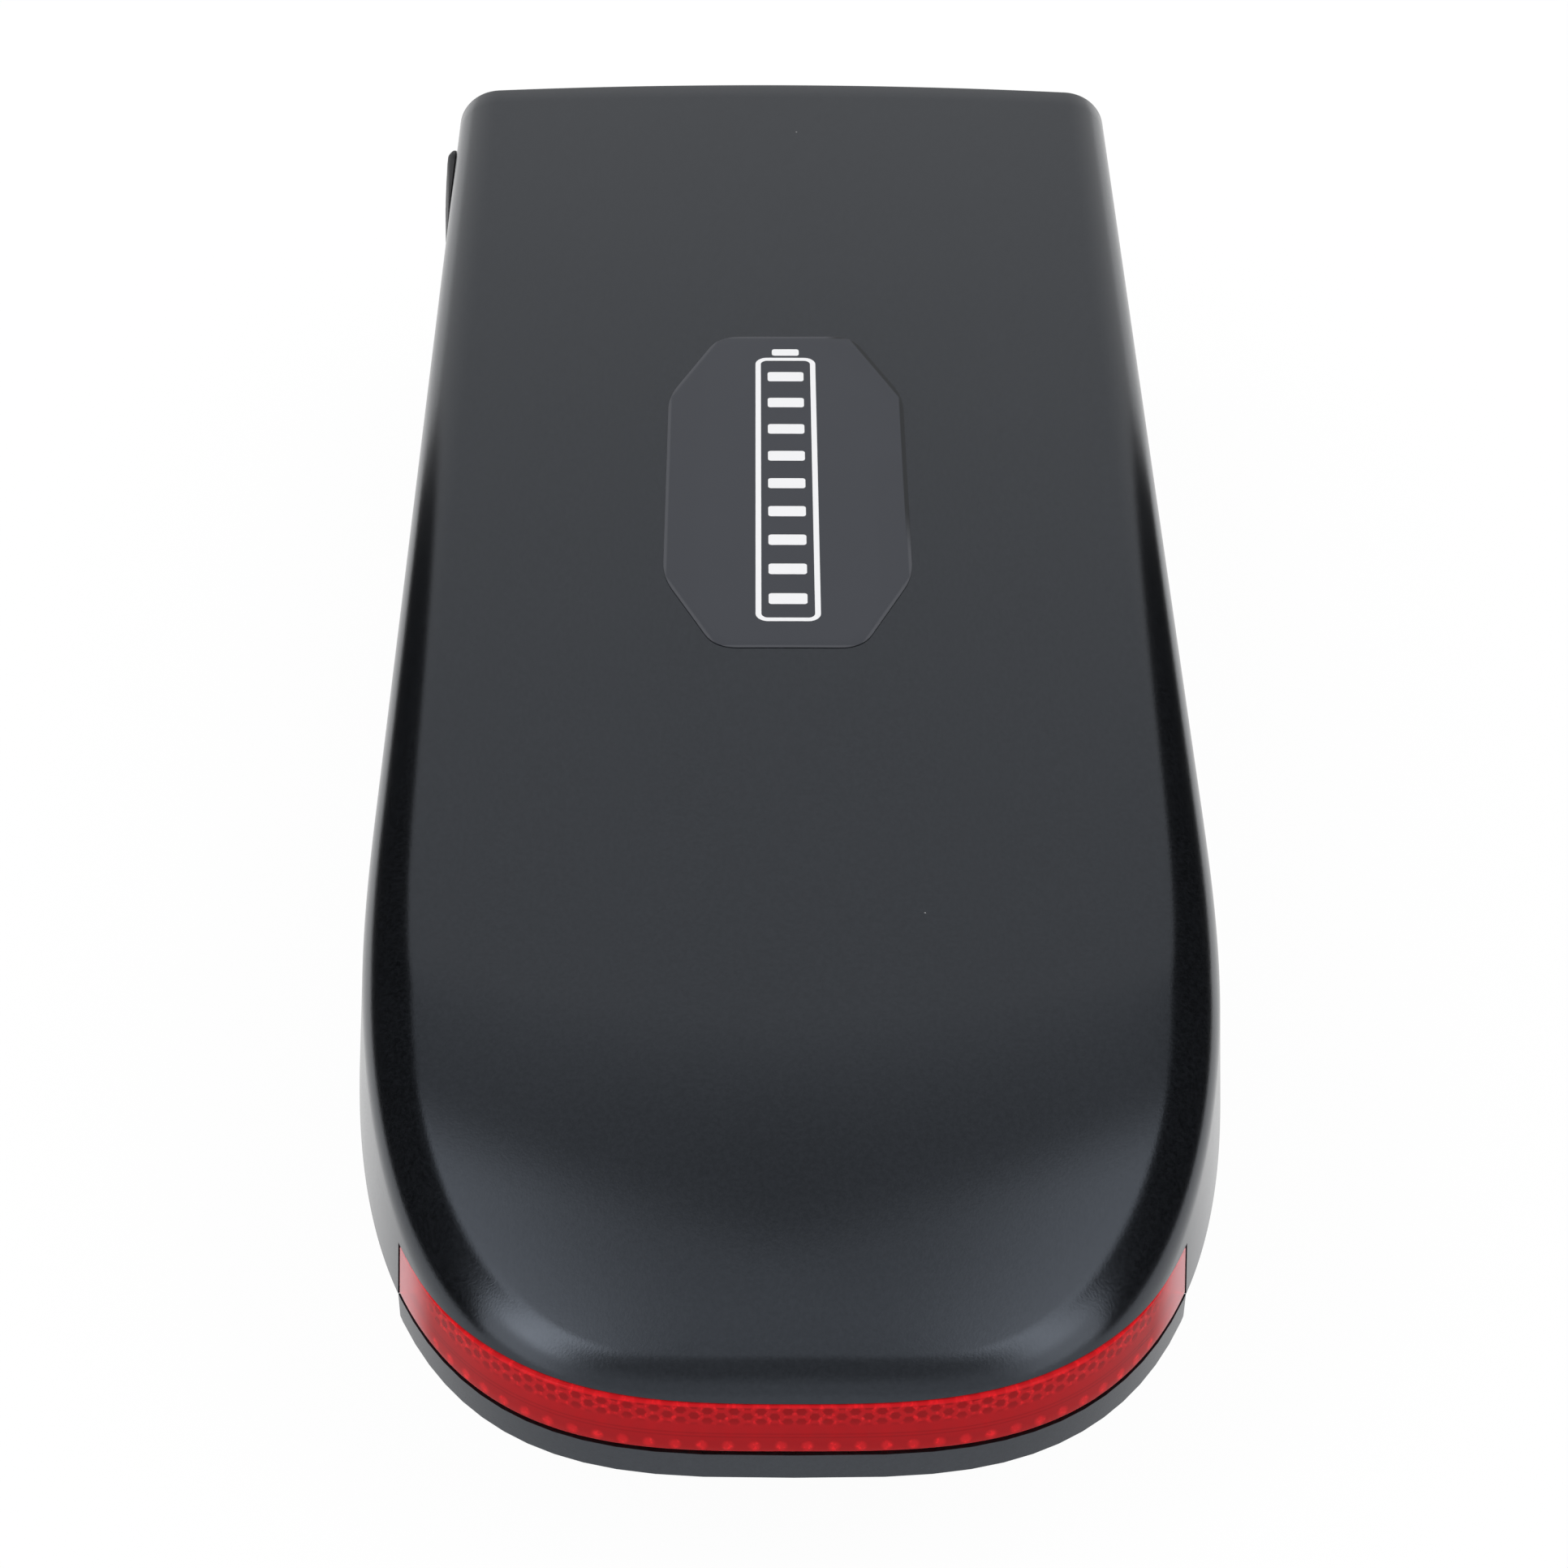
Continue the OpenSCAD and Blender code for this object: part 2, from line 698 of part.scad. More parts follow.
module label_plate() color([0.2, 0.2, 0.21]) {
    a = label_w / 2;
    b = label_l / 2;
    chamfer_x = label_w * 0.25;
    chamfer_y = label_l * 0.23;
    film = 0.25;
    lift = 0.05;
    intersection() {
        difference() {
            cover_block(-lift - film, parting_z, half_l);
            cover_block(-lift, parting_z - overrun, half_l + overrun);
        }
        translate([0, half_l - label_from_front, height / 2]) linear_extrude(height) polygon([
            [a, b - chamfer_y], [a - chamfer_x, b], [chamfer_x - a, b], [-a, b - chamfer_y],
            [-a, chamfer_y - b], [chamfer_x - a, -b], [a - chamfer_x, -b], [a, chamfer_y - b]]);
    }
}

// The rubber cap lies on the side wall and has a plug that dips into the socket's mouth. It
// swings about the bead along its upper edge. A finger tab stands out at its lower edge.
cap_lift = 0.3;
cap_plug_t = 1.5;
cap_plug_gap = 0.8;
cap_plug_d = port_bore_d - 2 * cap_plug_gap;
cap_r = 4;
cap_bead_d = 1.6;
// How far outside the side wall the bead's axis lies
cap_axis_out = 1.25;
module charge_cap() color([0.06, 0.06, 0.06]) {
    on_side(-1, port_y, port_z) {
        difference() {
            translate([0, 0, cap_lift]) linear_extrude(cap_t)
                round_box_plan([-cap_h / 2, -cap_l / 2], [cap_h / 2, cap_l / 2], cap_r);
            translate([-cap_h, -cap_l / 2, cap_lift + cap_tail_t])
                rotate([atan((cap_t - cap_tail_t) / cap_l), 0, 0]) cube([2 * cap_h, 2 * cap_l, cap_t]);
        }
        translate([cap_h / 2, -cap_l / 4, cap_axis_out])
            rotate([-90, 0, 0]) cylinder(d = cap_bead_d, h = cap_l / 2);
        translate([0, 0, -socket_sink - cap_plug_t])
            cylinder(d = cap_plug_d, h = cap_plug_t + socket_sink + cap_lift + overrun);
        translate([-cap_h / 2 - cap_r / 4, 0, cap_lift]) linear_extrude(cap_tail_t)
            round_box_plan([-cap_r / 2, -cap_l / 6], [cap_r, cap_l / 6], cap_r / 3);
    }
}

// The socket's face lies this far inside the skin.
socket_sink = 0.5;
module charge_socket() color([0.09, 0.09, 0.1]) {
    on_side(-1, port_y, port_z) difference() {
        union() {
            translate([0, 0, -socket_sink - socket_l]) cylinder(d = socket_d, h = socket_l);
            translate([0, 0, -wall - nut_t - socket_flange_t - fit_gap])
                cylinder(d = socket_d + 2 * socket_flange_out, h = socket_flange_t);
        }
        translate([0, 0, -socket_sink - port_depth]) cylinder(d = port_bore_d, h = port_depth + overrun);
        port_pins(
            -socket_sink - socket_l - overrun, socket_floor_t + 2 * overrun, contact_d + 2 * turn_gap);
    }
}

contact_d = 1.8;
contact_tail = 3;
module port_pins(z, h, d) {
    for (a = [0:120:240]) rotate([0, 0, a]) translate([port_bore_d * 0.28, 0, z]) cylinder(d = d, h = h);
}

module charge_contacts() color([0.85, 0.7, 0.35]) {
    on_side(-1, port_y, port_z)
        port_pins(
            -socket_sink - socket_l - contact_tail, socket_floor_t + contact_tail, contact_d);
}

module charge_nut() color([0.7, 0.7, 0.72]) {
    on_side(-1, port_y, port_z) translate([0, 0, -wall - nut_t]) difference() {
        cylinder(d = socket_d + 2 * nut_out, h = nut_t - fit_gap, $fn = 6);
        translate([0, 0, -overrun]) cylinder(d = socket_d + 2 * turn_gap, h = nut_t + 2 * overrun);
    }
}

// Point of a side frame, in the frame of the case
function side_point(side, y, z, inward) = [
    side * (half_w - (z - parting_z) * tan(side_lean) - inward * cos(side_lean)),
    y, z - inward * sin(side_lean)];

charge_lead_d = 2.4;
module charge_leads() color([0.6, 0.05, 0.05]) {
    tip = side_point(-1, port_y, port_z, socket_sink + socket_l + contact_tail + fit_gap);
    for (k = [0, 1]) {
        y = port_y + (k - 0.5) * port_bore_d * 0.56;
        board_y = bms_y + bms_l - bms_inset * (3.5 - k);
        x = -bms_w / 2 - charge_lead_d * (k == 0 ? 2.4 : 1);
        wire([
            [tip.x, y, tip.z], [x, y, tip.z], [x, board_y, bms_top_z + charge_lead_d / 2],
            [-bms_w / 2 + bms_inset, board_y, bms_top_z + charge_lead_d / 2]],
            charge_lead_d);
    }
}

module barrel_bore(x, h) {
    translate([x, lock_y, lock_z]) rotate([0, 90, 0]) cylinder(d = rotor_d + 2 * turn_gap, h = h);
}

barrel_in_x = low_half_w - barrel_l;
module lock_barrel() color([0.75, 0.75, 0.77]) {
    difference() {
        union() {
            translate([barrel_in_x, lock_y, lock_z])
                rotate([0, 90, 0]) cylinder(d = lock_d, h = barrel_l);
            translate([low_half_w, lock_y, lock_z])
                rotate([0, 90, 0]) cylinder(d = lock_d + 2 * lock_flange_t, h = lock_flange_t);
        }
        barrel_bore(barrel_in_x - overrun, barrel_l + lock_flange_t + 2 * overrun);
    }
}

module lock_nut() color([0.65, 0.65, 0.67]) {
    translate([low_half_w - wall - nut_t, lock_y, lock_z]) rotate([0, 90, 0]) difference() {
        cylinder(d = lock_d + nut_t, h = nut_t, $fn = 6);
        translate([0, 0, -overrun]) cylinder(d = lock_d + 2 * turn_gap, h = nut_t + 2 * overrun);
    }
}

module key_rotor() color([0.8, 0.8, 0.82]) {
    slot_w = rotor_d * 0.14;
    slot_l = rotor_d * 0.6;
    slot_depth = barrel_l * 0.6;
    difference() {
        translate([cam_x + cam_t, lock_y, lock_z])
            rotate([0, 90, 0]) cylinder(d = rotor_d, h = low_half_w + lock_flange_t - cam_x - cam_t);
        translate([low_half_w + lock_flange_t - slot_depth, lock_y - slot_w / 2, lock_z - slot_l / 2])
            cube([slot_depth + overrun, slot_w, slot_l]);
    }
}

pin_y = pin_turn_r * cos(45);
pin_rise = pin_turn_r * sin(45);
module lock_cam() color([0.7, 0.65, 0.5]) {
    translate([cam_x, lock_y, lock_z])
        rotate([0, 90, 0]) cylinder(d = 2 * pin_turn_r + pin_d, h = cam_t);
    translate([bolt_x, lock_y + pin_y, lock_z + pin_rise])
        rotate([0, 90, 0]) cylinder(d = pin_d, h = bolt_t + cam_gap + cam_t / 2);
}

module lock_bolt() color([0.78, 0.78, 0.8]) {
    pin_gap = 0.35;
    top = lock_z + pin_rise + 1.5 * pin_d;
    difference() {
        translate([bolt_x, lock_y - bolt_w / 2, bolt_in]) cube([bolt_t, bolt_w, top - bolt_in]);
        translate([
            bolt_x - overrun, lock_y + pin_y - pin_d / 2 - pin_gap,
            lock_z + pin_rise - pin_d / 2 - pin_gap])
            cube([bolt_t + 2 * overrun, pin_turn_r - pin_y + pin_d + 2 * pin_gap, pin_d + 2 * pin_gap]);
    }
}

module bolt_guide() color([0.5, 0.5, 0.52]) {
    guide_h = lock_z * 0.6;
    difference() {
        translate([bolt_x - slide_gap - guide_t, lock_y - bolt_w / 2 - slide_gap - guide_t, wall])
            cube([bolt_t + slide_gap + guide_t, bolt_w + 2 * (slide_gap + guide_t), guide_h]);
        translate([bolt_x - slide_gap, lock_y - bolt_w / 2 - slide_gap, 0])
            cube([bolt_t + 2 * overrun, bolt_w + 2 * slide_gap, guide_h + wall + overrun]);
    }
}

button_flange_t = 1;
button_flange_out = 1.2;
switch_h = 2;
button_slack = 0.1;
gauge_board_in = wall + button_flange_t + button_travel + button_slack + switch_h;
module power_button() color([0.1, 0.1, 0.11]) {
    on_side(1, button_y, gauge_z) {
        translate([0, 0, -wall - button_flange_t / 2])
            cylinder(d = button_d, h = wall + button_flange_t / 2 + button_proud);
        translate([0, 0, -wall - button_flange_t])
            cylinder(d = button_d + 2 * button_flange_out, h = button_flange_t - turn_gap);
    }
}

switch_w = 6;
module tact_switch() color([0.3, 0.3, 0.32]) {
    on_side(1, button_y, gauge_z) {
        translate([-switch_w / 2, -switch_w / 2, -gauge_board_in])
            cube([switch_w, switch_w, switch_h * 0.75]);
        translate([0, 0, -gauge_board_in]) cylinder(d = switch_w / 2, h = switch_h);
    }
}

gauge_last_y = -(light_count - 1) * light_pitch;
module gauge_window() color([0.85, 0.9, 0.88]) {
    plate_t = 1.2;
    edge = light_d * 0.8;
    foot_t = 1.6;
    plate_h = 3 * light_d;
    on_side(1, first_light_y, gauge_z) {
        for (k = [0:light_count - 1])
            translate([0, -k * light_pitch, -wall - plate_t / 2])
                cylinder(d = light_d, h = wall + plate_t / 2);
        translate([-plate_h / 2, gauge_last_y - edge, -wall - plate_t])
            cube([plate_h, edge * 2 - gauge_last_y, plate_t - turn_gap]);
        for (y = [gauge_last_y - edge, edge - foot_t])
            translate([-plate_h / 2, y, -gauge_board_in])
                cube([plate_h, foot_t, gauge_board_in - wall - plate_t / 2]);
    }
}

gauge_board_h = 14;
module gauge_board() color([0.05, 0.3, 0.15]) {
    on_side(1, first_light_y, gauge_z)
        translate([-gauge_board_h / 2, gauge_last_y - light_pitch, -gauge_board_in - gauge_board_t])
            cube([
                gauge_board_h, button_y - first_light_y - gauge_last_y + light_pitch + switch_w,
                gauge_board_t]);
}

module gauge_leds() color([0.9, 0.95, 0.85]) {
    chip = [1.6, 1.6, 0.8];
    on_side(1, first_light_y, gauge_z) for (k = [0:light_count - 1])
        translate([-chip.x / 2, -k * light_pitch - chip.y / 2, -gauge_board_in]) cube(chip);
}

gauge_lead_d = 1.4;
module gauge_lead() color([0.85, 0.85, 0.85]) {
    start = side_point(
        1, first_light_y, gauge_z,
        gauge_board_in + gauge_board_t + turn_gap + gauge_lead_d * tan(side_lean));
    pitch = 1.4 * gauge_lead_d;
    for (k = [0:3]) {
        y = start.y + gauge_last_y / 2 + (1.5 - k) * pitch;
        x = bms_w / 2 + 3 * gauge_lead_d + k * pitch;
        end_y = bms_spots[1].y - board_screw_d - (k + 2) * pitch;
        wire([
            [start.x, y, start.z], [x, y, start.z], [x, end_y, start.z],
            [bms_w / 2 - gauge_lead_d, end_y, bms_top_z + gauge_lead_d]],
            gauge_lead_d);
    }
}

plug_body_l = plug_depth + plug_wall;
module discharge_connector() color([0.08, 0.08, 0.09]) {
    w = plug_w + 2 * plug_wall;
    h = plug_h + 2 * plug_wall;
    difference() {
        union() {
            translate([-w / 2, half_l - plug_body_l, plug_z - h / 2]) cube([w, plug_body_l, h]);
            translate([
                -w / 2 - plug_flange_out, half_l - 2 * wall - fit_gap,
                plug_z - h / 2 - plug_flange_out])
                cube([w + 2 * plug_flange_out, wall, h + 2 * plug_flange_out]);
        }
        translate([-plug_w / 2, half_l - plug_depth, plug_z - plug_h / 2])
            cube([plug_w, plug_depth + overrun, plug_h]);
        for (x = rack_contact_xs)
            translate([
                x - contact_w / 2 - turn_gap, half_l - plug_body_l - overrun, plug_floor_z - overrun])
                cube([contact_w + 2 * turn_gap, plug_wall + 2 * overrun, contact_t + turn_gap + overrun]);
    }
}

// Flat contacts lie along the floor of the connector's mouth.
contact_w = 4;
plug_floor_z = plug_z - plug_h / 2;
rack_contact_xs = [for (k = [0:rack_contacts - 1]) plug_w * ((k + 0.5) / rack_contacts - 0.5)];
module discharge_contacts() color([0.85, 0.68, 0.4]) {
    for (x = rack_contact_xs)
        translate([x - contact_w / 2, half_l - plug_body_l - contact_tail, plug_floor_z])
            cube([contact_w, plug_body_l + contact_tail - plug_wall, contact_t]);
}

power_lead_d = 4.4;
module discharge_leads() color([0.55, 0.05, 0.05]) {
    for (k = [0, 1]) {
        x = rack_contact_xs[k == 0 ? 0 : rack_contacts - 1];
        y = half_l - plug_body_l - contact_tail - power_lead_d;
        wire([
            [x, y + 1.25 * power_lead_d, plug_floor_z + contact_t + power_lead_d / 2],
            [x, y, plug_floor_z + contact_t + power_lead_d / 2],
            [x, y, bms_top_z + power_lead_d / 2],
            [x, bms_y + bms_l - bms_inset, bms_top_z + power_lead_d / 2]],
            power_lead_d);
    }
}

// Cells stand on end, and each row faces the other way from the row beside it.
function cell_spot(row, k) = [
    (k - (cells_across - 1) / 2) * cell_pitch, pack_y + holder_rim + (row - 0.5) * cell_pitch];

module cell_row(row) color([0.16, 0.42, 0.62]) {
    nub_d = cell_d * 0.4;
    nub_h = 1;
    up = row % 2 == 1;
    for (k = [0:cells_across - 1]) translate([cell_spot(row, k).x, cell_spot(row, k).y, 0]) {
        translate([0, 0, cell_z + (up ? 0 : nub_h)]) cylinder(d = cell_d, h = cell_l - nub_h);
        translate([0, 0, up ? cell_z + cell_l - 2 * nub_h : cell_z]) cylinder(d = nub_d, h = 2 * nub_h);
    }
}

module cell_holder(low_z, plate_low_z) {
    bore = cell_d + 2 * fit_gap;
    difference() {
        translate([-pack_w / 2, pack_y, low_z]) cube([pack_w, pack_l, holder_depth + holder_lip]);
        for (row = [1:cell_rows], k = [0:cells_across - 1]) {
            spot = cell_spot(row, k);
            pocket_z = plate_low_z > low_z ? low_z - overrun : low_z + holder_lip;
            translate([spot.x, spot.y, pocket_z]) cylinder(d = bore, h = holder_depth + overrun);
            translate([spot.x, spot.y, plate_low_z - overrun])
                cylinder(d = cell_d * 0.6, h = holder_lip + 2 * overrun);
        }
    }
}

module lower_cell_holder() color([0.2, 0.2, 0.22]) cell_holder(holder_z, holder_z);

module upper_cell_holder() color([0.2, 0.2, 0.22])
    cell_holder(cell_top_z - holder_depth, cell_top_z);

// A strip joins the cells of the rows from first to last, with a weld spot on each cell.
module strip(z, spot_z, first, last) {
    edge = cell_pitch * 0.36;
    low = cell_spot(first, 0);
    high = cell_spot(last, cells_across - 1);
    translate([low.x - edge, low.y - edge, z])
        cube([high.x - low.x + 2 * edge, high.y - low.y + 2 * edge, strip_t]);
    for (row = [first:last], k = [0:cells_across - 1])
        translate([cell_spot(row, k).x, cell_spot(row, k).y, spot_z])
            cylinder(d = cell_d * 0.34, h = holder_lip);
}

// Tab from a strip's edge to just past the holders' side, where a lead joins it
tab_w = 4;
tab_out = 1.8;
module side_tab(side, row, z) {
    from = cell_spot(1, cells_across - 1).x + cell_pitch * 0.3;
    translate([side > 0 ? from : -pack_w / 2 - tab_out, cell_spot(row, 0).y - tab_w / 2, z])
        cube([pack_w / 2 + tab_out - from, tab_w, strip_t]);
}

lower_rows = [for (row = [1:2:cell_rows - 1]) row];
upper_rows = concat([1], [for (row = [2:2:cell_rows]) row]);
module lower_strips() color([0.78, 0.77, 0.72])
    for (row = lower_rows) {
        strip(lower_strip_z, holder_z, row, row + 1);
        side_tab(1, row, lower_strip_z);
    }

module upper_strips() color([0.78, 0.77, 0.72]) {
    for (row = upper_rows) {
        strip(upper_strip_z, cell_top_z, row, row == 1 || row == cell_rows ? row : row + 1);
        side_tab(1, row, upper_strip_z);
    }
    side_tab(-1, 1, upper_strip_z);
    translate([minus_x - tab_w / 2, cell_spot(cell_rows, 0).y, upper_strip_z])
        cube([tab_w, pack_front_y + power_lead_d - cell_spot(cell_rows, 0).y, strip_t]);
}

module pack_sheet(z, t, margin) {
    translate([margin - pack_w / 2, pack_y + margin, z])
        cube([pack_w - 2 * margin, pack_l - 2 * margin, t]);
}

module insulation_sheets() color([0.35, 0.5, 0.4]) {
    pack_sheet(lower_sheet_z, sheet_t, 0);
    pack_sheet(upper_sheet_z, sheet_t, 0);
}

module foam_pads() color([0.25, 0.25, 0.26]) {
    pack_sheet(wall, lower_pad_t, pad_margin);
    pack_sheet(pad_z, upper_pad_t, pad_margin);
}

module bms_board() color([0.05, 0.25, 0.12]) {
    difference() {
        translate([-bms_w / 2, bms_y, bms_z]) cube([bms_w, bms_l, board_t]);
        for (p = bms_spots)
            translate([p.x, p.y, bms_z - overrun])
                cylinder(d = board_screw_d + 2 * turn_gap, h = board_t + 2 * overrun);
    }
}

// Power transistors lie in a row under a cooling bar.
transistor_count = 6;
transistor_size = [9, 10, 3];
transistor_y = bms_y + bms_l * 0.45;
transistor_pitch = (bms_w - 4 * bms_inset) / transistor_count;
module bms_transistors() color([0.08, 0.08, 0.08]) {
    for (k = [0:transistor_count - 1])
        translate([
            (k + 0.5 - transistor_count / 2) * transistor_pitch - transistor_size.x / 2, transistor_y,
            bms_top_z])
            cube(transistor_size);
}

module bms_heatsink() color([0.72, 0.73, 0.75]) {
    w = transistor_count * transistor_pitch;
    base_t = 2.5;
    fin_h = 4;
    fin_t = 1.2;
    fins = 5;
    z = bms_top_z + transistor_size.z;
    translate([-w / 2, transistor_y, z]) cube([w, transistor_size.y, base_t]);
    for (k = [0:fins - 1])
        translate([-w / 2, transistor_y + k * (transistor_size.y - fin_t) / (fins - 1), z + base_t / 2])
            cube([w, fin_t, fin_h + base_t / 2]);
}

// Plug for the balance leads, two capacitors and a current shunt
module bms_parts() color([0.9, 0.88, 0.8]) {
    capacitor_d = 8;
    capacitor_h = 10;
    shunt_size = [12, 4, 2];
    translate([balance_plug_x, balance_plug_y, bms_top_z]) cube(plug_size);
    for (k = [0, 1])
        translate([-bms_w * 0.2 + k * 1.3 * capacitor_d, bms_y + bms_inset * 2, bms_top_z])
            cylinder(d = capacitor_d, h = capacitor_h);
    translate([-shunt_size.x / 2, bms_y + bms_l - bms_inset - shunt_size.y, bms_top_z]) cube(shunt_size);
}

// The negative lead drops from the pack's front, and a flat bar along the pack's side brings the
// positive one from the tail.
minus_x = bms_w * 0.03;
bar_t = 1.3;
bar_h = 8;
bar_x = -pack_w / 2 - fit_gap - bar_t;
bar_end_y = bms_y + bms_inset;
module pack_leads() color([0.1, 0.1, 0.1]) {
    fall_y = pack_front_y + power_lead_d / 2 + turn_gap;
    bar_mid = [bar_x + bar_t / 2, bar_end_y, upper_strip_z - bar_h / 2];
    translate([bar_x, cell_spot(1, 0).y - tab_w / 2, upper_strip_z - bar_h])
        cube([bar_t, bar_end_y - cell_spot(1, 0).y + tab_w / 2, bar_h]);
    wire([
        bar_mid - [0, power_lead_d / 4, 0], bar_mid + [0, power_lead_d, 0],
        [3 * bms_inset - bms_w / 2, bar_end_y + power_lead_d, bms_top_z + power_lead_d / 2]],
        power_lead_d);
    wire([
        [minus_x, fall_y, upper_strip_z], [minus_x, fall_y, bms_top_z + power_lead_d],
        [minus_x, bms_y + bms_inset + power_lead_d, bms_top_z + power_lead_d / 2]],
        power_lead_d);
}

// Thin leads from each strip to the board's plug lie one above another along the pack's side. The
// lower strips' leads have the low levels, the one nearest the tail highest, and the upper strips'
// leads lie above them the other way round, so none crosses another.
balance_d = 1.1;
balance_pitch = 1.3;
balance_rise = 3;
plug_size = [26, 6, 5];
balance_plug_x = bms_w / 2 - plug_size.x - 2 * bms_inset;
balance_plug_y = bms_y + 1.6 * bms_inset;
module balance_leads() color([0.9, 0.75, 0.2]) {
    side_x = pack_w / 2 + tab_out - balance_d / 2 - turn_gap;
    taps = concat(
        [for (row = lower_rows) [row, holder_z]],
        [for (row = upper_rows) [row, upper_strip_z]]);
    plug_top_z = bms_top_z + plug_size.z;
    plug_mid_y = balance_plug_y + plug_size.y / 2;
    turn_y = bms_y + bms_inset;
    for (k = [0:len(taps) - 1]) {
        level = k < len(lower_rows) ? len(lower_rows) - 1 - k : k;
        x = balance_plug_x + plug_size.x * (1 - (level + 0.5) / len(taps));
        y = cell_spot(taps[k][0], 0).y + (k < len(lower_rows) ? -1 : 1) * balance_d;
        z = plug_top_z + balance_rise + level * balance_pitch;
        wire([
            [side_x, y, taps[k][1]], [side_x, y, z], [side_x, turn_y, z], [x, plug_mid_y, z],
            [x, plug_mid_y, plug_top_z + turn_gap]],
            balance_d);
    }
}

sensor_d = 3;
module temperature_sensor() color([0.15, 0.15, 0.4]) {
    x = -pack_w * 0.2;
    y = pack_front_y + sensor_d / 2 + turn_gap;
    z = cell_top_z - holder_depth / 2;
    translate([x, y, z]) sphere(d = sensor_d);
    wire([
        [x, y, z], [x, y, bms_top_z + 2 * sensor_d],
        [x, bms_y + bms_inset, bms_top_z + balance_d / 2]], balance_d);
}

fuse_holder_size = [20, 8, 5];
fuse_size = [19, 5, 9];
fuse_x = rack_contact_xs[rack_contacts - 1];
fuse_y = bms_y + bms_l * 0.7;
module fuse_holder() color([0.3, 0.3, 0.33]) {
    blade = [5, 1];
    difference() {
        translate([fuse_x - fuse_holder_size.x / 2, fuse_y, bms_top_z]) cube(fuse_holder_size);
        for (side = [-1, 1])
            translate([
                fuse_x + side * fuse_size.x / 4 - blade.x / 2 - fit_gap,
                fuse_y + fuse_holder_size.y / 2 - blade.y / 2 - fit_gap, bms_top_z + overrun])
                cube([blade.x + 2 * fit_gap, blade.y + 2 * fit_gap, fuse_holder_size.z]);
    }
}

module blade_fuse() color([0.85, 0.6, 0.1]) {
    blade = [5, 1];
    top = bms_top_z + fuse_holder_size.z;
    translate([fuse_x - fuse_size.x / 2, fuse_y + (fuse_holder_size.y - fuse_size.y) / 2, top])
        cube(fuse_size);
    for (side = [-1, 1])
        translate([
            fuse_x + side * fuse_size.x / 4 - blade.x / 2, fuse_y + (fuse_holder_size.y - blade.y) / 2,
            bms_top_z + overrun + fit_gap])
            cube([blade.x, blade.y, fuse_holder_size.z]);
}

// Slide rail, with its foot against the lower case's side
module rail(side) {
    head_sink = rail_w * 0.5;
    mirror([side < 0 ? 1 : 0, 0, 0]) translate([low_half_w, rail_y, rail_z]) difference() {
        rotate([90, 0, 180]) mirror([1, 0, 0]) linear_extrude(rail_l) polygon([
            [0, 0], [rail_w - rail_chamfer, 0], [rail_w, rail_chamfer], [rail_w, rail_h - rail_chamfer],
            [rail_w - rail_chamfer, rail_h], [0, rail_h]]);
        for (y = rail_screw_ys) translate([-overrun, y - rail_y, rail_h / 2]) rotate([0, 90, 0]) {
            cylinder(d = rail_screw_d + 2 * turn_gap, h = rail_w + 2 * overrun);
            translate([0, 0, rail_w - head_sink + overrun])
                cylinder(d = 2 * rail_screw_d + 2 * turn_gap, h = head_sink + overrun);
        }
    }
}

module left_rail() color([0.3, 0.3, 0.31]) rail(-1);

module right_rail() color([0.3, 0.3, 0.31]) rail(1);

// Screw along -Z whose head's underside is at the origin
module screw(d, l, head_w, head_t) {
    recess_d = head_w * 0.45;
    difference() {
        cylinder(d = head_w, h = head_t);
        translate([0, 0, head_t * 0.45]) cylinder(d = recess_d, h = head_t, $fn = 6);
    }
    translate([0, 0, -l]) cylinder(d = d, h = l + head_t * 0.2);
}

module rail_screws() color([0.6, 0.6, 0.62]) {
    for (side = [-1, 1], y = rail_screw_ys)
        translate([side * (low_half_w + rail_w * 0.5), y, rail_z + rail_h / 2])
            rotate([0, side * 90, 0])
                screw(rail_screw_d, rail_screw_l, 2 * rail_screw_d, rail_screw_d * 0.6);
}

board_screw_d = 2.5;
board_screw_l = 8;
module board_screws() color([0.7, 0.7, 0.72]) {
    for (p = bms_spots)
        translate([p.x, p.y, bms_top_z])
            screw(board_screw_d, board_screw_l, 1.9 * board_screw_d, 0.7 * board_screw_d);
}

module case_screws() color([0.2, 0.2, 0.21]) {
    for (p = post_spots)
        translate([p.x, p.y, seat_z]) mirror([0, 0, 1]) screw(screw_d, screw_l, head_d, head_h);
    for (p = lamp_screw_spots)
        translate([p.x, p.y, lamp_seat_z]) mirror([0, 0, 1]) screw(screw_d, screw_l, head_d, head_h);
}

// The lamp's lead runs from its board along the pack's side to the battery board.
lamp_lead_d = 1.6;
lamp_lead_x = -half_w * 0.3;
lamp_lead_z = lamp_floor_z + lamp_wall + lamp_lead_d;
module lamp_lead() color([0.12, 0.12, 0.12]) {
    side_x = -pack_w / 2 - lamp_lead_d / 2 - fit_gap;
    start = station_at(lamp_lead_x / -half_w);
    wire([
        [lamp_lead_x, start.y + lamp_back_off + lamp_wall + lamp_lead_d / 2, lamp_lead_z],
        [lamp_lead_x, pack_y - lamp_lead_d, lamp_lead_z],
        [side_x, pack_y - lamp_lead_d, lamp_lead_z],
        [side_x, bms_y + 2 * bms_inset, lamp_lead_z],
        [side_x, bms_y + 2 * bms_inset, bms_top_z + lamp_lead_d / 2],
        [bms_inset - bms_w / 2, bms_y + 2 * bms_inset, bms_top_z + lamp_lead_d / 2]], lamp_lead_d);
}

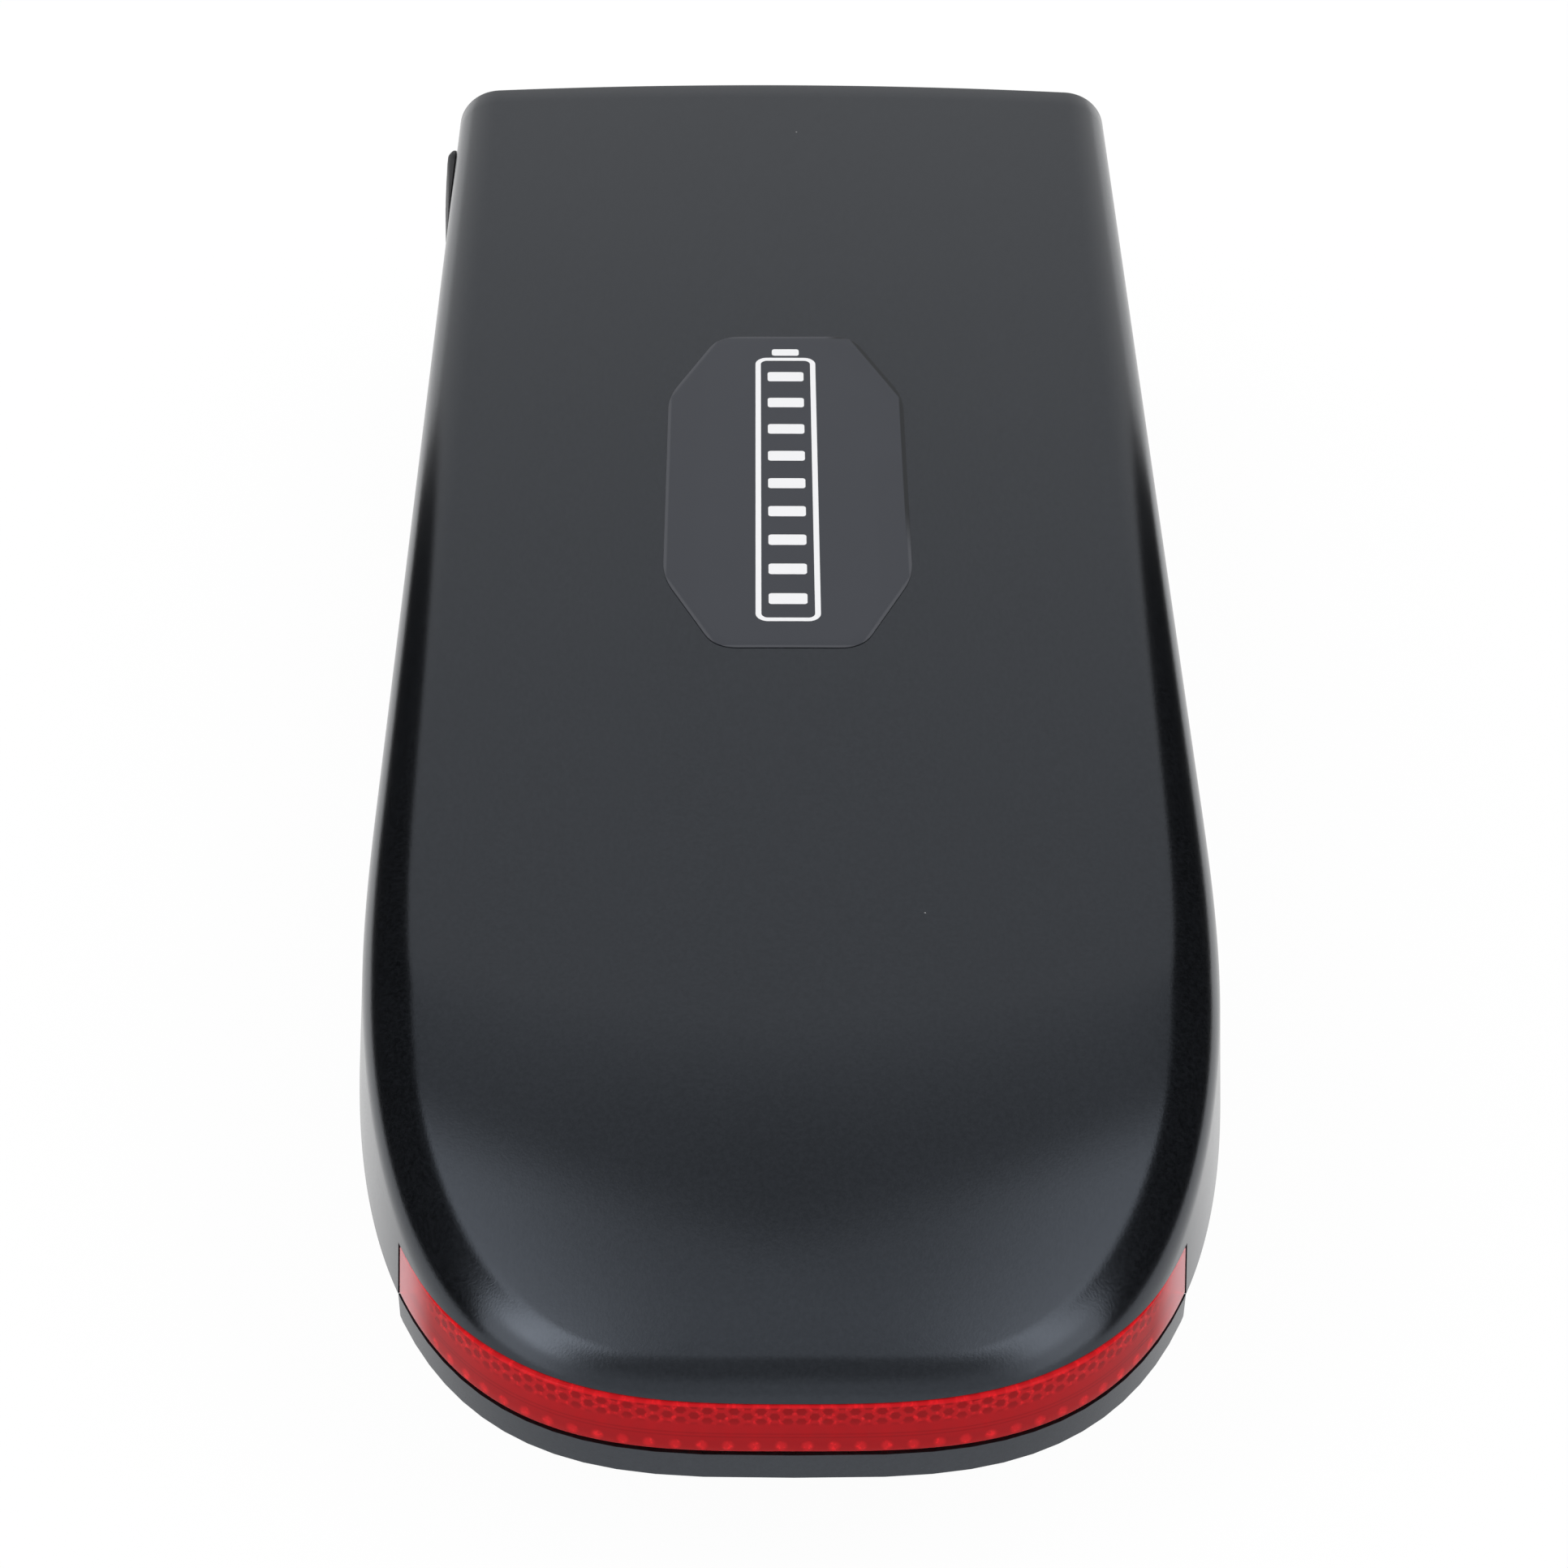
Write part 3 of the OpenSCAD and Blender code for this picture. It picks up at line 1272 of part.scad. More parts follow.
top_cover();
bottom_case();
case_gasket();
tail_lens();
reflex_insert();
lamp_housing();
lamp_board();
lamp_leds();
lamp_lead();
label_plate();
charge_cap();
charge_socket();
charge_contacts();
charge_nut();
charge_leads();
lock_barrel();
lock_nut();
key_rotor();
lock_cam();
lock_bolt();
bolt_guide();
power_button();
tact_switch();
gauge_window();
gauge_board();
gauge_leds();
gauge_lead();
discharge_connector();
discharge_contacts();
discharge_leads();
for (row = [1:cell_rows]) cell_row(row);
lower_cell_holder();
upper_cell_holder();
lower_strips();
upper_strips();
insulation_sheets();
foam_pads();
bms_board();
bms_transistors();
bms_heatsink();
bms_parts();
pack_leads();
balance_leads();
temperature_sensor();
fuse_holder();
blade_fuse();
left_rail();
right_rail();
rail_screws();
board_screws();
case_screws();
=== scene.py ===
import math

import bmesh
import bpy
import numpy as np
from mathutils import Matrix, Vector


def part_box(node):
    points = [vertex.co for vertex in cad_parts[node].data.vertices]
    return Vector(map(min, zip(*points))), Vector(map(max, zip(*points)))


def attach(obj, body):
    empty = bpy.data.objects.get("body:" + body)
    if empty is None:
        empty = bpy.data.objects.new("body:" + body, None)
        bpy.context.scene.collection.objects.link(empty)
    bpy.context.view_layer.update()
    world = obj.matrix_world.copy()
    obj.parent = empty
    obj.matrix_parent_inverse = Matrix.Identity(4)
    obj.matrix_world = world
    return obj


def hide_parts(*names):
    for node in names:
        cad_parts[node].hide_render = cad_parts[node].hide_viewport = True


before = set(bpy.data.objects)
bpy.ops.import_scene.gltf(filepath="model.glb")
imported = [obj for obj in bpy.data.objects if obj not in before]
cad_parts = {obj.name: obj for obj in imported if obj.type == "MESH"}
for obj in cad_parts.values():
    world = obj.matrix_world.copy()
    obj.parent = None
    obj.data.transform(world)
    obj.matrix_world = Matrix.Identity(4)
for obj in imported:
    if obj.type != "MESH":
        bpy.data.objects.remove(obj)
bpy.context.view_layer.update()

bl_info = {
    "name": "Rack Battery Looks",
    "version": (1, 0, 0),
    "blender": (4, 5, 0),
    "location": "View3D > Sidebar > Rack Battery",
    "description": "Surfaces, finishes and studio for a rear rack battery",
    "category": "Add Mesh",
}

# Lengths are in metres, in the frame of the case: +Z up, the tail at -Y, the connector at +Y.
MM = 0.001
COVER_LOW, COVER_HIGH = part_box("top_cover")
LENS_LOW, LENS_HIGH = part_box("tail_lens")
LABEL_LOW, LABEL_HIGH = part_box("label_plate")
HALF_WIDTH = COVER_HIGH.x
HALF_LENGTH = COVER_HIGH.y
PARTING_Z = COVER_LOW.z
TOP_Z = COVER_HIGH.z

# Edges that turn by more than this stay sharp on a smooth mesh.
SHARP_ANGLE = math.radians(35)
WHITE = (1.0, 1.0, 1.0, 1.0)

# The lens's thickness, and the step under its lower edge
LENS_THICK = 2.6 * MM
LENS_STEP = 0.8 * MM

# The pattern of the lens and its insert: a band of six-sided cells, whose columns lie half a cell
# out of step, then two lines, and a row of dots. The depths of lines and dots below the lens's
# top edge are shares of its height.
PRISM_CELL = 2.44 * MM
PRISM_COLUMN = PRISM_CELL * math.sqrt(3) / 2
DOT_PITCH = 4.2 * MM
DOT_RADIUS = 1.25 * MM
DOT_DEPTH = 0.86
LINE_DEPTHS = (0.6, 0.67)

# The label's place, and the share of its half sides by which its corners are cut off
LABEL_MIDDLE = (LABEL_LOW + LABEL_HIGH) / 2
LABEL_HALF_X = (LABEL_HIGH.x - LABEL_LOW.x) / 2
LABEL_HALF_Y = (LABEL_HIGH.y - LABEL_LOW.y) / 2
LABEL_CUT = 0.42

# Heights of the charge port and the charge gauge over the parting line
PORT_HEIGHT = 13.5 * MM
GAUGE_HEIGHT = 14 * MM


class CoverSizes(bpy.types.PropertyGroup):
    edge_radius: bpy.props.FloatProperty(
        name="Edge radius", description="Radius of the rounded edge round the top",
        default=10 * MM, min=7 * MM, max=12 * MM, subtype="DISTANCE", unit="LENGTH")
    corner_growth: bpy.props.FloatProperty(
        name="Corner growth", description="How much the edge radius grows at the tail's corners",
        default=4 * MM, min=0, max=6 * MM, subtype="DISTANCE", unit="LENGTH")
    crown: bpy.props.FloatProperty(
        name="Crown", description="Rise of the top from its edges to its middle",
        default=1.7 * MM, min=0.5 * MM, max=2.5 * MM, subtype="DISTANCE", unit="LENGTH")
    side_lean: bpy.props.FloatProperty(
        name="Side lean", description="Lean of the side walls",
        default=math.radians(5), min=0, max=math.radians(7), subtype="ANGLE", unit="ROTATION")
    wall: bpy.props.FloatProperty(
        name="Wall", description="Thickness of the shell",
        default=2.5 * MM, min=2 * MM, max=3 * MM, subtype="DISTANCE", unit="LENGTH")
    tail_length: bpy.props.FloatProperty(
        name="Tail length", description="Length over which the plan is rounded",
        default=133.5 * MM, min=110 * MM, max=150 * MM, subtype="DISTANCE", unit="LENGTH")
    tail_power_x: bpy.props.FloatProperty(
        name="Tail power across", description="Power of the tail's curve across the width",
        default=3.26, min=2.6, max=3.8)
    tail_power_y: bpy.props.FloatProperty(
        name="Tail power along", description="Power of the tail's curve along the length",
        default=2.94, min=2.4, max=3.4)
    slope_run: bpy.props.FloatProperty(
        name="Slope run", description="Length over which the top slopes to the tail",
        default=65.3 * MM, min=55 * MM, max=75 * MM, subtype="DISTANCE", unit="LENGTH")
    slope_drop: bpy.props.FloatProperty(
        name="Slope drop", description="Drop of the top at the end of the slope",
        default=18.7 * MM, min=10 * MM, max=20 * MM, subtype="DISTANCE", unit="LENGTH")
    slope_bow: bpy.props.FloatProperty(
        name="Slope bow", description="How much sooner the slope starts at the sides",
        default=23 * MM, min=0, max=30 * MM, subtype="DISTANCE", unit="LENGTH")
    front_radius: bpy.props.FloatProperty(
        name="Front edge radius", description="Small radius of the edge at the front face",
        default=0.35 * MM, min=0.2 * MM, max=2 * MM, subtype="DISTANCE", unit="LENGTH")


class Finishes(bpy.types.PropertyGroup):
    cover_colour: bpy.props.FloatVectorProperty(
        name="Cover colour", description="Colour of the satin cover",
        default=(0.0038, 0.0042, 0.005), size=3, min=0, max=1, subtype="COLOR")
    cover_roughness: bpy.props.FloatProperty(
        name="Cover roughness", description="Roughness of the satin cover",
        default=0.19, min=0.1, max=0.8, subtype="FACTOR")
    case_colour: bpy.props.FloatVectorProperty(
        name="Lower case colour", description="Colour of the lower case",
        default=(0.0045, 0.005, 0.006), size=3, min=0, max=1, subtype="COLOR")
    label_colour: bpy.props.FloatVectorProperty(
        name="Label colour", description="Colour of the label's film",
        default=(0.0235, 0.0248, 0.031), size=3, min=0, max=1, subtype="COLOR")
    mark_colour: bpy.props.FloatVectorProperty(
        name="Mark colour", description="Colour of the mark printed on the label",
        default=(0.7, 0.7, 0.71), size=3, min=0, max=1, subtype="COLOR")
    lens_colour: bpy.props.FloatVectorProperty(
        name="Lens colour", description="Colour of the tail lens",
        default=(0.4, 0.008, 0.012), size=3, min=0, max=1, subtype="COLOR")


class StudioSizes(bpy.types.PropertyGroup):
    panel_light: bpy.props.FloatProperty(
        name="Panel light", description="Brightness of the tall panels behind the side screens",
        default=3.8, min=0, max=20)
    row_light: bpy.props.FloatProperty(
        name="Row light", description="Brightness of the lamps over the side screens",
        default=2.1, min=0, max=20)
    floor_size: bpy.props.FloatProperty(
        name="Floor size", description="Side of the floor",
        default=12, min=2, max=40, subtype="DISTANCE", unit="LENGTH")


# Camera, found from the outline of the photograph, which is 1932 pixels wide
PHOTO_WIDTH_PX = 1932
FOCAL_PX = 4484
SENSOR_WIDTH_MM = 36
CAMERA_PLACE = Vector((-7.3, -562.9, 496.9)) * MM
CAMERA_PITCH = math.radians(40)
CAMERA_YAW = math.radians(0.71)
CAMERA_ROLL = math.radians(0.56)


# Arithmetic on node sockets

class Value:
    """A node's output that takes part in arithmetic: each operator adds the Math node for it."""

    def __init__(self, graph, socket):
        self.graph = graph
        self.socket = socket

    def math(self, operation, *others, first=None):
        """A Math node of this value and others, or of another value that comes first"""
        values = (self,) + others if first is None else (first, self) + others
        return self.graph.node(
            "ShaderNodeMath", {"operation": operation}, dict(enumerate(values)))

    def __add__(self, other):
        return self.math("ADD", other)

    __radd__ = __add__

    def __sub__(self, other):
        return self.math("SUBTRACT", other)

    def __rsub__(self, other):
        return self.math("SUBTRACT", first=other)

    def __mul__(self, other):
        return self.math("MULTIPLY", other)

    __rmul__ = __mul__

    def __truediv__(self, other):
        return self.math("DIVIDE", other)

    def __rtruediv__(self, other):
        return self.math("DIVIDE", first=other)

    def __gt__(self, other):
        return self.math("GREATER_THAN", other)

    def __lt__(self, other):
        return self.math("LESS_THAN", other)

    def most(self, other):
        return self.math("MAXIMUM", other)

    def least(self, other):
        return self.math("MINIMUM", other)

    def size(self):
        return self.math("ABSOLUTE")

    def step(self, low, high, start=0.0, end=1.0):
        """Goes smoothly from start to end while the value goes from low to high."""
        return self.graph.node(
            "ShaderNodeMapRange", {"interpolation_type": "SMOOTHSTEP"},
            {"Value": self, "From Min": low, "From Max": high, "To Min": start, "To Max": end})

    def fall(self, low, high):
        """Goes smoothly from 1 to 0 while the value goes from low to high."""
        return self.step(low, high, 1.0, 0.0)


class Graph:
    """Adds nodes to a material's or the world's node tree."""

    def __init__(self, tree):
        self.tree = tree
        tree.nodes.clear()

    def node(self, kind, settings=None, values=None, out=0):
        """Adds a node of one kind: its settings come first, then its sockets' values or links."""
        made = self.tree.nodes.new(kind)
        for name, setting in (settings or {}).items():
            setattr(made, name, setting)
        for key, value in (values or {}).items():
            socket = made.inputs[key]
            if isinstance(value, Value):
                self.tree.links.new(value.socket, socket)
            else:
                socket.default_value = value
        return Value(self, made.outputs[out]) if made.outputs else None

    def place(self):
        """The point in the object's own coordinates"""
        return self.node("ShaderNodeTexCoord", out="Object")

    def parts(self, vector):
        """The x, y and z of a vector"""
        split = self.node("ShaderNodeSeparateXYZ", values={0: vector})
        return [Value(self, split.socket.node.outputs[k]) for k in range(3)]

    def noise(self, vector, size, detail=2.0, rough=0.5):
        """Cloudy noise from 0 to 1 whose lumps are about size metres across"""
        return self.node(
            "ShaderNodeTexNoise", {"noise_dimensions": "3D"},
            {"Vector": vector, "Scale": 1 / size, "Detail": detail, "Roughness": rough})

    def blend(self, share, first, second):
        """A colour that goes from first to second as share goes from 0 to 1"""
        made = self.tree.nodes.new("ShaderNodeMix")
        made.data_type = "RGBA"
        sockets = [s for s in made.inputs if s.type == "RGBA"]
        for socket, value in zip([made.inputs[0], *sockets], (share, first, second)):
            if isinstance(value, Value):
                self.tree.links.new(value.socket, socket)
            elif socket.type == "RGBA":
                socket.default_value = (*value[:3], 1)
            else:
                socket.default_value = value
        return Value(self, next(s for s in made.outputs if s.type == "RGBA"))

    def bump(self, height, depth):
        """Normals of a relief that is depth metres deep where height is 1"""
        return self.node(
            "ShaderNodeBump", values={"Strength": 1.0, "Distance": depth, "Height": height})

    def principled(self, **values):
        """The plastic or metal shader: a socket's spaces are written as underlines."""
        return self.node(
            "ShaderNodeBsdfPrincipled",
            values={name.replace("_", " "): value for name, value in values.items()})

    def mixed(self, share, first, second):
        """A shader that goes from first to second as share goes from 0 to 1"""
        return self.node("ShaderNodeMixShader", values={0: share, 1: first, 2: second})

    def finish(self, shader):
        """Makes a shader the material's surface."""
        self.node("ShaderNodeOutputMaterial", values={"Surface": shader})


def scaled(colour, factor):
    """A lighter or darker colour"""
    return tuple(min(1.0, channel * factor) for channel in colour[:3])


def material(name):
    """A new material, and the graph that fills it"""
    made = bpy.data.materials.new(name)
    made.use_nodes = True
    return made, Graph(made.node_tree)


# Finishes

def moulded(name, colour, roughness, grain=0.35 * MM, depth=0.01 * MM):
    """Moulded plastic: fine grain, and slow changes of colour and gloss over the surface"""
    made, graph = material(name)
    place = graph.place()
    cloud = graph.noise(place, 18 * MM, 3)
    fine = graph.noise(place, grain, 3, 0.6)
    graph.finish(graph.principled(
        Base_Color=graph.blend(cloud, scaled(colour, 0.9), scaled(colour, 1.1)),
        Roughness=roughness + (cloud - 0.5) * 0.06 + (fine - 0.5) * 0.08,
        Normal=graph.bump(fine, depth)))
    return made


def satin_cover(name, colour, roughness):
    """The cover's satin black: fine grain, cloudy gloss, and a few specks of dust"""
    made, graph = material(name)
    dust, dust_pitch, dust_share = (0.4, 0.4, 0.4), 11 * MM, 0.018
    cool_sheen = (0.76, 0.85, 1.0, 1.0)
    place = graph.place()
    cloud = graph.noise(place, 24 * MM, 3)
    fine = graph.noise(place, 0.42 * MM, 3, 0.6)
    cells = graph.node(
        "ShaderNodeTexVoronoi", {"feature": "F1"}, {"Vector": place, "Scale": 1 / dust_pitch})
    spots = graph.noise(place, 60 * MM, 1)
    speck = (cells < dust_share) * (spots > 0.56)
    grain = graph.noise(place, 0.8 * MM, 4, 0.75).step(0.3, 0.7)
    plain = graph.blend(grain * 0.8 + cloud * 0.2, scaled(colour, 0.3), scaled(colour, 1.7))
    graph.finish(graph.principled(
        Base_Color=graph.blend(speck * 0.5, plain, dust),
        Roughness=roughness + (cloud - 0.5) * 0.05 + (fine - 0.5) * 0.09,
        Normal=graph.bump(fine, 0.012 * MM), IOR=1.57, Specular_Tint=cool_sheen))
    return made


def rubber(name, colour):
    """Matt rubber with a dusty bloom"""
    made, graph = material(name)
    place = graph.place()
    bloom = graph.noise(place, 6 * MM, 4)
    fine = graph.noise(place, 0.3 * MM, 3, 0.7)
    graph.finish(graph.principled(
        Base_Color=graph.blend(bloom, scaled(colour, 0.8), scaled(colour, 1.7)),
        Roughness=0.55 + (bloom - 0.5) * 0.15, Normal=graph.bump(fine, 0.03 * MM)))
    return made


def metal(name, colour, roughness, streak=(1, 1, 1)):
    """Metal with fine marks, drawn out along the axis whose streak is small"""
    made, graph = material(name)
    place = graph.place()
    drawn = graph.node(
        "ShaderNodeMapping", {"vector_type": "POINT"}, {"Vector": place, "Scale": streak})
    marks = graph.noise(drawn, 0.25 * MM, 4, 0.65)
    stain = graph.noise(place, 5 * MM, 3)
    graph.finish(graph.principled(
        Base_Color=graph.blend(stain, scaled(colour, 0.86), colour), Metallic=1.0,
        Roughness=roughness + (marks - 0.5) * 0.2, Normal=graph.bump(marks, 0.006 * MM)))
    return made


def sleeve(name, colour):
    """A lead's sleeve: smooth and slightly glossy"""
    made, graph = material(name)
    cloud = graph.noise(graph.place(), 4 * MM, 2)
    graph.finish(graph.principled(
        Base_Color=graph.blend(cloud, scaled(colour, 0.85), scaled(colour, 1.1)),
        Roughness=0.38 + (cloud - 0.5) * 0.1))
    return made


def circuit_board(name, colour):
    """Solder mask with thin tracks, paler where copper lies under it, and small tinned pads"""
    made, graph = material(name)
    pad_pitch, tin = 4 * MM, (0.55, 0.53, 0.5)
    x, y, _ = graph.parts(graph.place())
    run = graph.noise(graph.place(), 7 * MM, 1)
    wave = (run * 40).math("SINE")
    track = wave.size().step(0.75, 0.9)

    def from_middle(value):
        """How far a value is from the middle of its pitch, in pitches"""
        return ((value / pad_pitch).math("FRACT") - 0.5).size()

    pad = from_middle(x).most(from_middle(y)) < 0.09
    masked = graph.blend(track, colour, scaled(colour, 1.8))
    graph.finish(graph.principled(
        Base_Color=graph.blend(pad, masked, tin),
        Roughness=0.32 + track * 0.08, Normal=graph.bump(track, 0.03 * MM)))
    return made


def cell_sleeve(name):
    """A cell's shrink sleeve, tight over the can, with the bare metal of the ends showing"""
    made, graph = material(name)
    bare, dark_blue, blue, can = 1.3 * MM, (0.03, 0.16, 0.36), (0.05, 0.22, 0.46), (0.6, 0.6, 0.6)
    low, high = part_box("cell_row_1")
    place = graph.place()
    _, _, z = graph.parts(place)
    end = (z < low.z + bare).most(z > high.z - bare)
    wrinkle = graph.noise(place, 3 * MM, 3)
    graph.finish(graph.principled(
        Base_Color=graph.blend(end, graph.blend(wrinkle, dark_blue, blue), can), Metallic=end,
        Roughness=0.26 + (wrinkle - 0.5) * 0.12, Normal=graph.bump(wrinkle, 0.05 * MM)))
    return made


def foam(name):
    """Closed-cell foam: small pits all over"""
    made, graph = material(name)
    place = graph.place()
    pits = graph.node(
        "ShaderNodeTexVoronoi", {"feature": "F1"}, {"Vector": place, "Scale": 1 / (0.9 * MM)})
    # Painted shade: the colour is darker towards the bottoms of the pits.
    graph.finish(graph.principled(
        Base_Color=graph.blend(pits, (0.03, 0.03, 0.032), (0.09, 0.09, 0.095)),
        Roughness=0.9, Normal=graph.bump(pits, 0.25 * MM)))
    return made


def red_lens(name, colour, tall):
    """Clear red plastic: light passes tinted, or meets a red body whose colour carries the look of
    prisms moulded in its back as painted highlights and painted shade. Under its top edge lie
    six-sided cells, then two lines, and dots along its foot. The mesh keeps, as spread, the way
    along from the middle, the depth below the top edge, and the way to the lens's end, where a
    painted reflection turns the red pale pink. A cell's distance is six-sided: the larger of the
    way down, and half of it plus the way across times half the root of three."""
    made, graph = material(name)
    # The first two colours are those of the painted highlights and of the painted reflection at the
    # ends.
    highlight_red, reflection_pink, tint = (0.9, 0.018, 0.025), (0.85, 0.5, 0.53), (1.0, 0.06, 0.07, 1)
    body_share, body_ior, coat_ior = 0.62, 1.2, 1.36
    spread = graph.node("ShaderNodeAttribute", {"attribute_name": "spread"}, out="Vector")
    along, depth, left = graph.parts(spread)

    column = along / PRISM_COLUMN
    odd = (column.math("FLOOR") / 2).math("FRACT") * 2
    across = ((column.math("FRACT") - 0.5) * PRISM_COLUMN).size()
    down = (((depth / PRISM_CELL + odd * 0.5).math("FRACT") - 0.5) * PRISM_CELL).size()
    core = down.most(down * 0.5 + across * (math.sqrt(3) / 2)).fall(0.6 * MM, 1.02 * MM)
    band = depth.fall(3.2 * MM, 5.0 * MM)
    across = ((along / DOT_PITCH).math("FRACT") - 0.5) * DOT_PITCH
    down = depth - tall * DOT_DEPTH
    dot = (across * across + down * down * 0.8).math("SQRT").fall(0.45 * MM, DOT_RADIUS)
    first, second = [(depth - tall * share).size() for share in LINE_DEPTHS]
    line = first.least(second).fall(0.06 * MM, 0.24 * MM)
    # Painted highlight: a bright line just under the top edge.
    edge = depth.fall(0.25 * MM, 0.6 * MM)
    inside = left.step(8 * MM, 17 * MM)
    # Painted glints: specks that make the painted highlights uneven.
    painted_glint = graph.noise(spread, 1.1 * MM, 2).step(0.5, 0.7)

    # Painted highlights on the cells' rims and on the dots, broken up by the painted glints.
    painted_light = band * (1.0 - core) * (0.12 + painted_glint * 0.7) + dot * (0.5 + painted_glint * 0.8)
    painted_light = (painted_light * inside + edge * 0.5).least(1.0)
    # Painted reflection: the body turns pale pink towards each end of the lens.
    painted_end_reflection = left.step(1 * MM, 14 * MM, 0.62, 0.0)
    # Painted shade in the cells' cores and along the two lines.
    painted_shade = (band * core * 0.5 + line * 0.3) * inside
    cloud = graph.noise(graph.place(), 9 * MM, 2)
    plain = graph.blend(cloud, scaled(colour, 0.94), scaled(colour, 1.06))
    shade = graph.blend(painted_shade, plain, scaled(colour, 0.36))
    body = graph.principled(
        Base_Color=graph.blend(painted_end_reflection, graph.blend(painted_light, shade, highlight_red), reflection_pink),
        Roughness=0.1 + (cloud - 0.5) * 0.03, IOR=body_ior)
    through = graph.node("ShaderNodeBsdfTransparent", values={"Color": tint})
    inner = graph.mixed(body_share, through, body)
    gloss = graph.node("ShaderNodeBsdfAnisotropic", values={"Color": WHITE, "Roughness": 0.05})
    back = graph.node("ShaderNodeNewGeometry", out="Backfacing")
    coat = graph.node("ShaderNodeFresnel", values={"IOR": coat_ior}) * (1.0 - back)
    graph.finish(graph.mixed(coat, inner, gloss))
    return made


def prism_plastic(name):
    """Metallised plastic behind the lens: its colour is painted from dark to bright, as painted
    light on the prisms, with the value that the mesh keeps as relief."""
    made, graph = material(name)
    height = graph.node("ShaderNodeAttribute", {"attribute_name": "relief"}, out="Fac")
    cloud = graph.noise(graph.place(), 2.2 * MM, 2)
    # Painted light: the colour is lighter where the mesh's relief value is higher.
    lit = height.step(0.15, 0.95) * (0.85 + cloud * 0.3)
    graph.finish(graph.principled(
        Base_Color=graph.blend(lit, (0.16, 0.16, 0.16), (1.0, 1.0, 1.0)), Metallic=0.3,
        Roughness=0.28 + (cloud - 0.5) * 0.12))
    return made


def label_film(name, colour, mark):
    """Matt film with a plain battery sign: a round-cornered frame, its cap, and nine bars. A dark
    line of painted shadow follows the lifted edge, and a pale line of painted highlight lies along
    the other cut edges."""
    made, graph = material(name)
    half_w, half_l, line, corner = 6.2 * MM, 45 * MM, 1.1 * MM, 2.4 * MM
    bars, bar_w, bar_l, end_gap, soft = 9, 7.4 * MM, 3.4 * MM, 1.2 * MM, 0.6 * MM
    cap_w, cap_l, cap_out = 2.8 * MM, 1.2 * MM, 2 * MM
    black, pale, cool_sheen = (0.0, 0.0, 0.0), (0.2, 0.2, 0.21), (0.84, 0.91, 1.0, 1.0)
    place = graph.place()
    x, y, _ = graph.parts(place)
    across, along = x - LABEL_MIDDLE.x, y - LABEL_MIDDLE.y

    def box_distance(u, v, a, b, r):
        """How far a point lies outside a round-cornered rectangle of half sizes a and b"""
        du, dv = (u.size() - (a - r)).most(0.0), (v.size() - (b - r)).most(0.0)
        return (du * du + dv * dv).math("SQRT") - r

    ring = box_distance(across, along, half_w, half_l, corner)
    frame_line = (ring < 0.0) * (ring > -line)
    cap = box_distance(across, along - (half_l + cap_out), cap_w, cap_l, soft) < 0.0
    pitch = 2 * (half_l - line - end_gap) / bars
    turn = ((along / pitch + bars / 2).math("FRACT") - 0.5) * pitch
    bar = box_distance(across, turn, bar_w / 2, bar_l / 2, soft) < 0.0
    within = along.size() < half_l - line - 1.0 * MM
    print_mask = frame_line.most(cap).most(bar * within)

    # How far a point lies outside the label's outline, with its corners cut off
    cut_x, cut_y = LABEL_CUT * LABEL_HALF_X, LABEL_CUT * LABEL_HALF_Y
    slant = across.size() / cut_x + along.size() / cut_y - (2 / LABEL_CUT - 1)
    out = (across.size() - LABEL_HALF_X).most(along.size() - LABEL_HALF_Y)
    out = out.most(slant * (cut_x * 0.9))
    rim = out.step(-0.75 * MM, -0.45 * MM)
    lifted = (across / LABEL_HALF_X + along / LABEL_HALF_Y * 0.45).step(0.78, 0.92)
    cloud = graph.noise(place, 14 * MM, 3)
    fine = graph.noise(place, 0.3 * MM, 2)
    film = graph.blend(cloud, scaled(colour, 0.94), scaled(colour, 1.06))
    # Painted shadow: a dark line along the lifted edge.
    film = graph.blend(out.step(-0.95 * MM, -0.7 * MM) * lifted, film, black)
    # Painted highlight: a pale line along the other cut edges.
    film = graph.blend(rim * (1.0 - lifted) * 0.12, film, pale)
    graph.finish(graph.principled(
        Base_Color=graph.blend(print_mask, film, mark), Specular_Tint=cool_sheen,
        Roughness=0.42 + (fine - 0.5) * 0.06 - print_mask * 0.05,
        Normal=graph.bump(fine, 0.006 * MM)))
    return made


def frosted(name, colour):
    """Frosted light guide"""
    made, graph = material(name)
    cloud = graph.noise(graph.place(), 1.2 * MM, 2)
    graph.finish(graph.principled(
        Base_Color=graph.blend(cloud, scaled(colour, 0.85), colour), Roughness=0.3 + cloud * 0.1))
    return made


# Meshes

def smooth(mesh, sharp):
    """Shades a mesh smooth, apart from edges that turn by more than an angle."""
    mesh.polygons.foreach_set("use_smooth", np.ones(len(mesh.polygons), bool))
    mesh.set_sharp_from_angle(angle=sharp)


def placed(name, data):
    """A new object at the origin, for a mesh or a camera"""
    made = bpy.data.objects.new(name, data)
    bpy.context.scene.collection.objects.link(made)
    return made


def standing_for(node, name, mesh, finish, body, sharp):
    """A smooth piece with a finish, that rides on a body and stands for a CAD node"""
    mesh.materials.clear()
    mesh.materials.append(finish)
    smooth(mesh, sharp)
    made = placed(name, mesh)
    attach(made, body)
    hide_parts(node)
    return made


def piece(node, name, vertices, faces, finish, body, sharp=SHARP_ANGLE):
    """A piece of points and faces that stands for a CAD node"""
    mesh = bpy.data.meshes.new(name)
    mesh.from_pydata(vertices, [], faces)
    mesh.validate()
    return standing_for(node, name, mesh, finish, body, sharp)


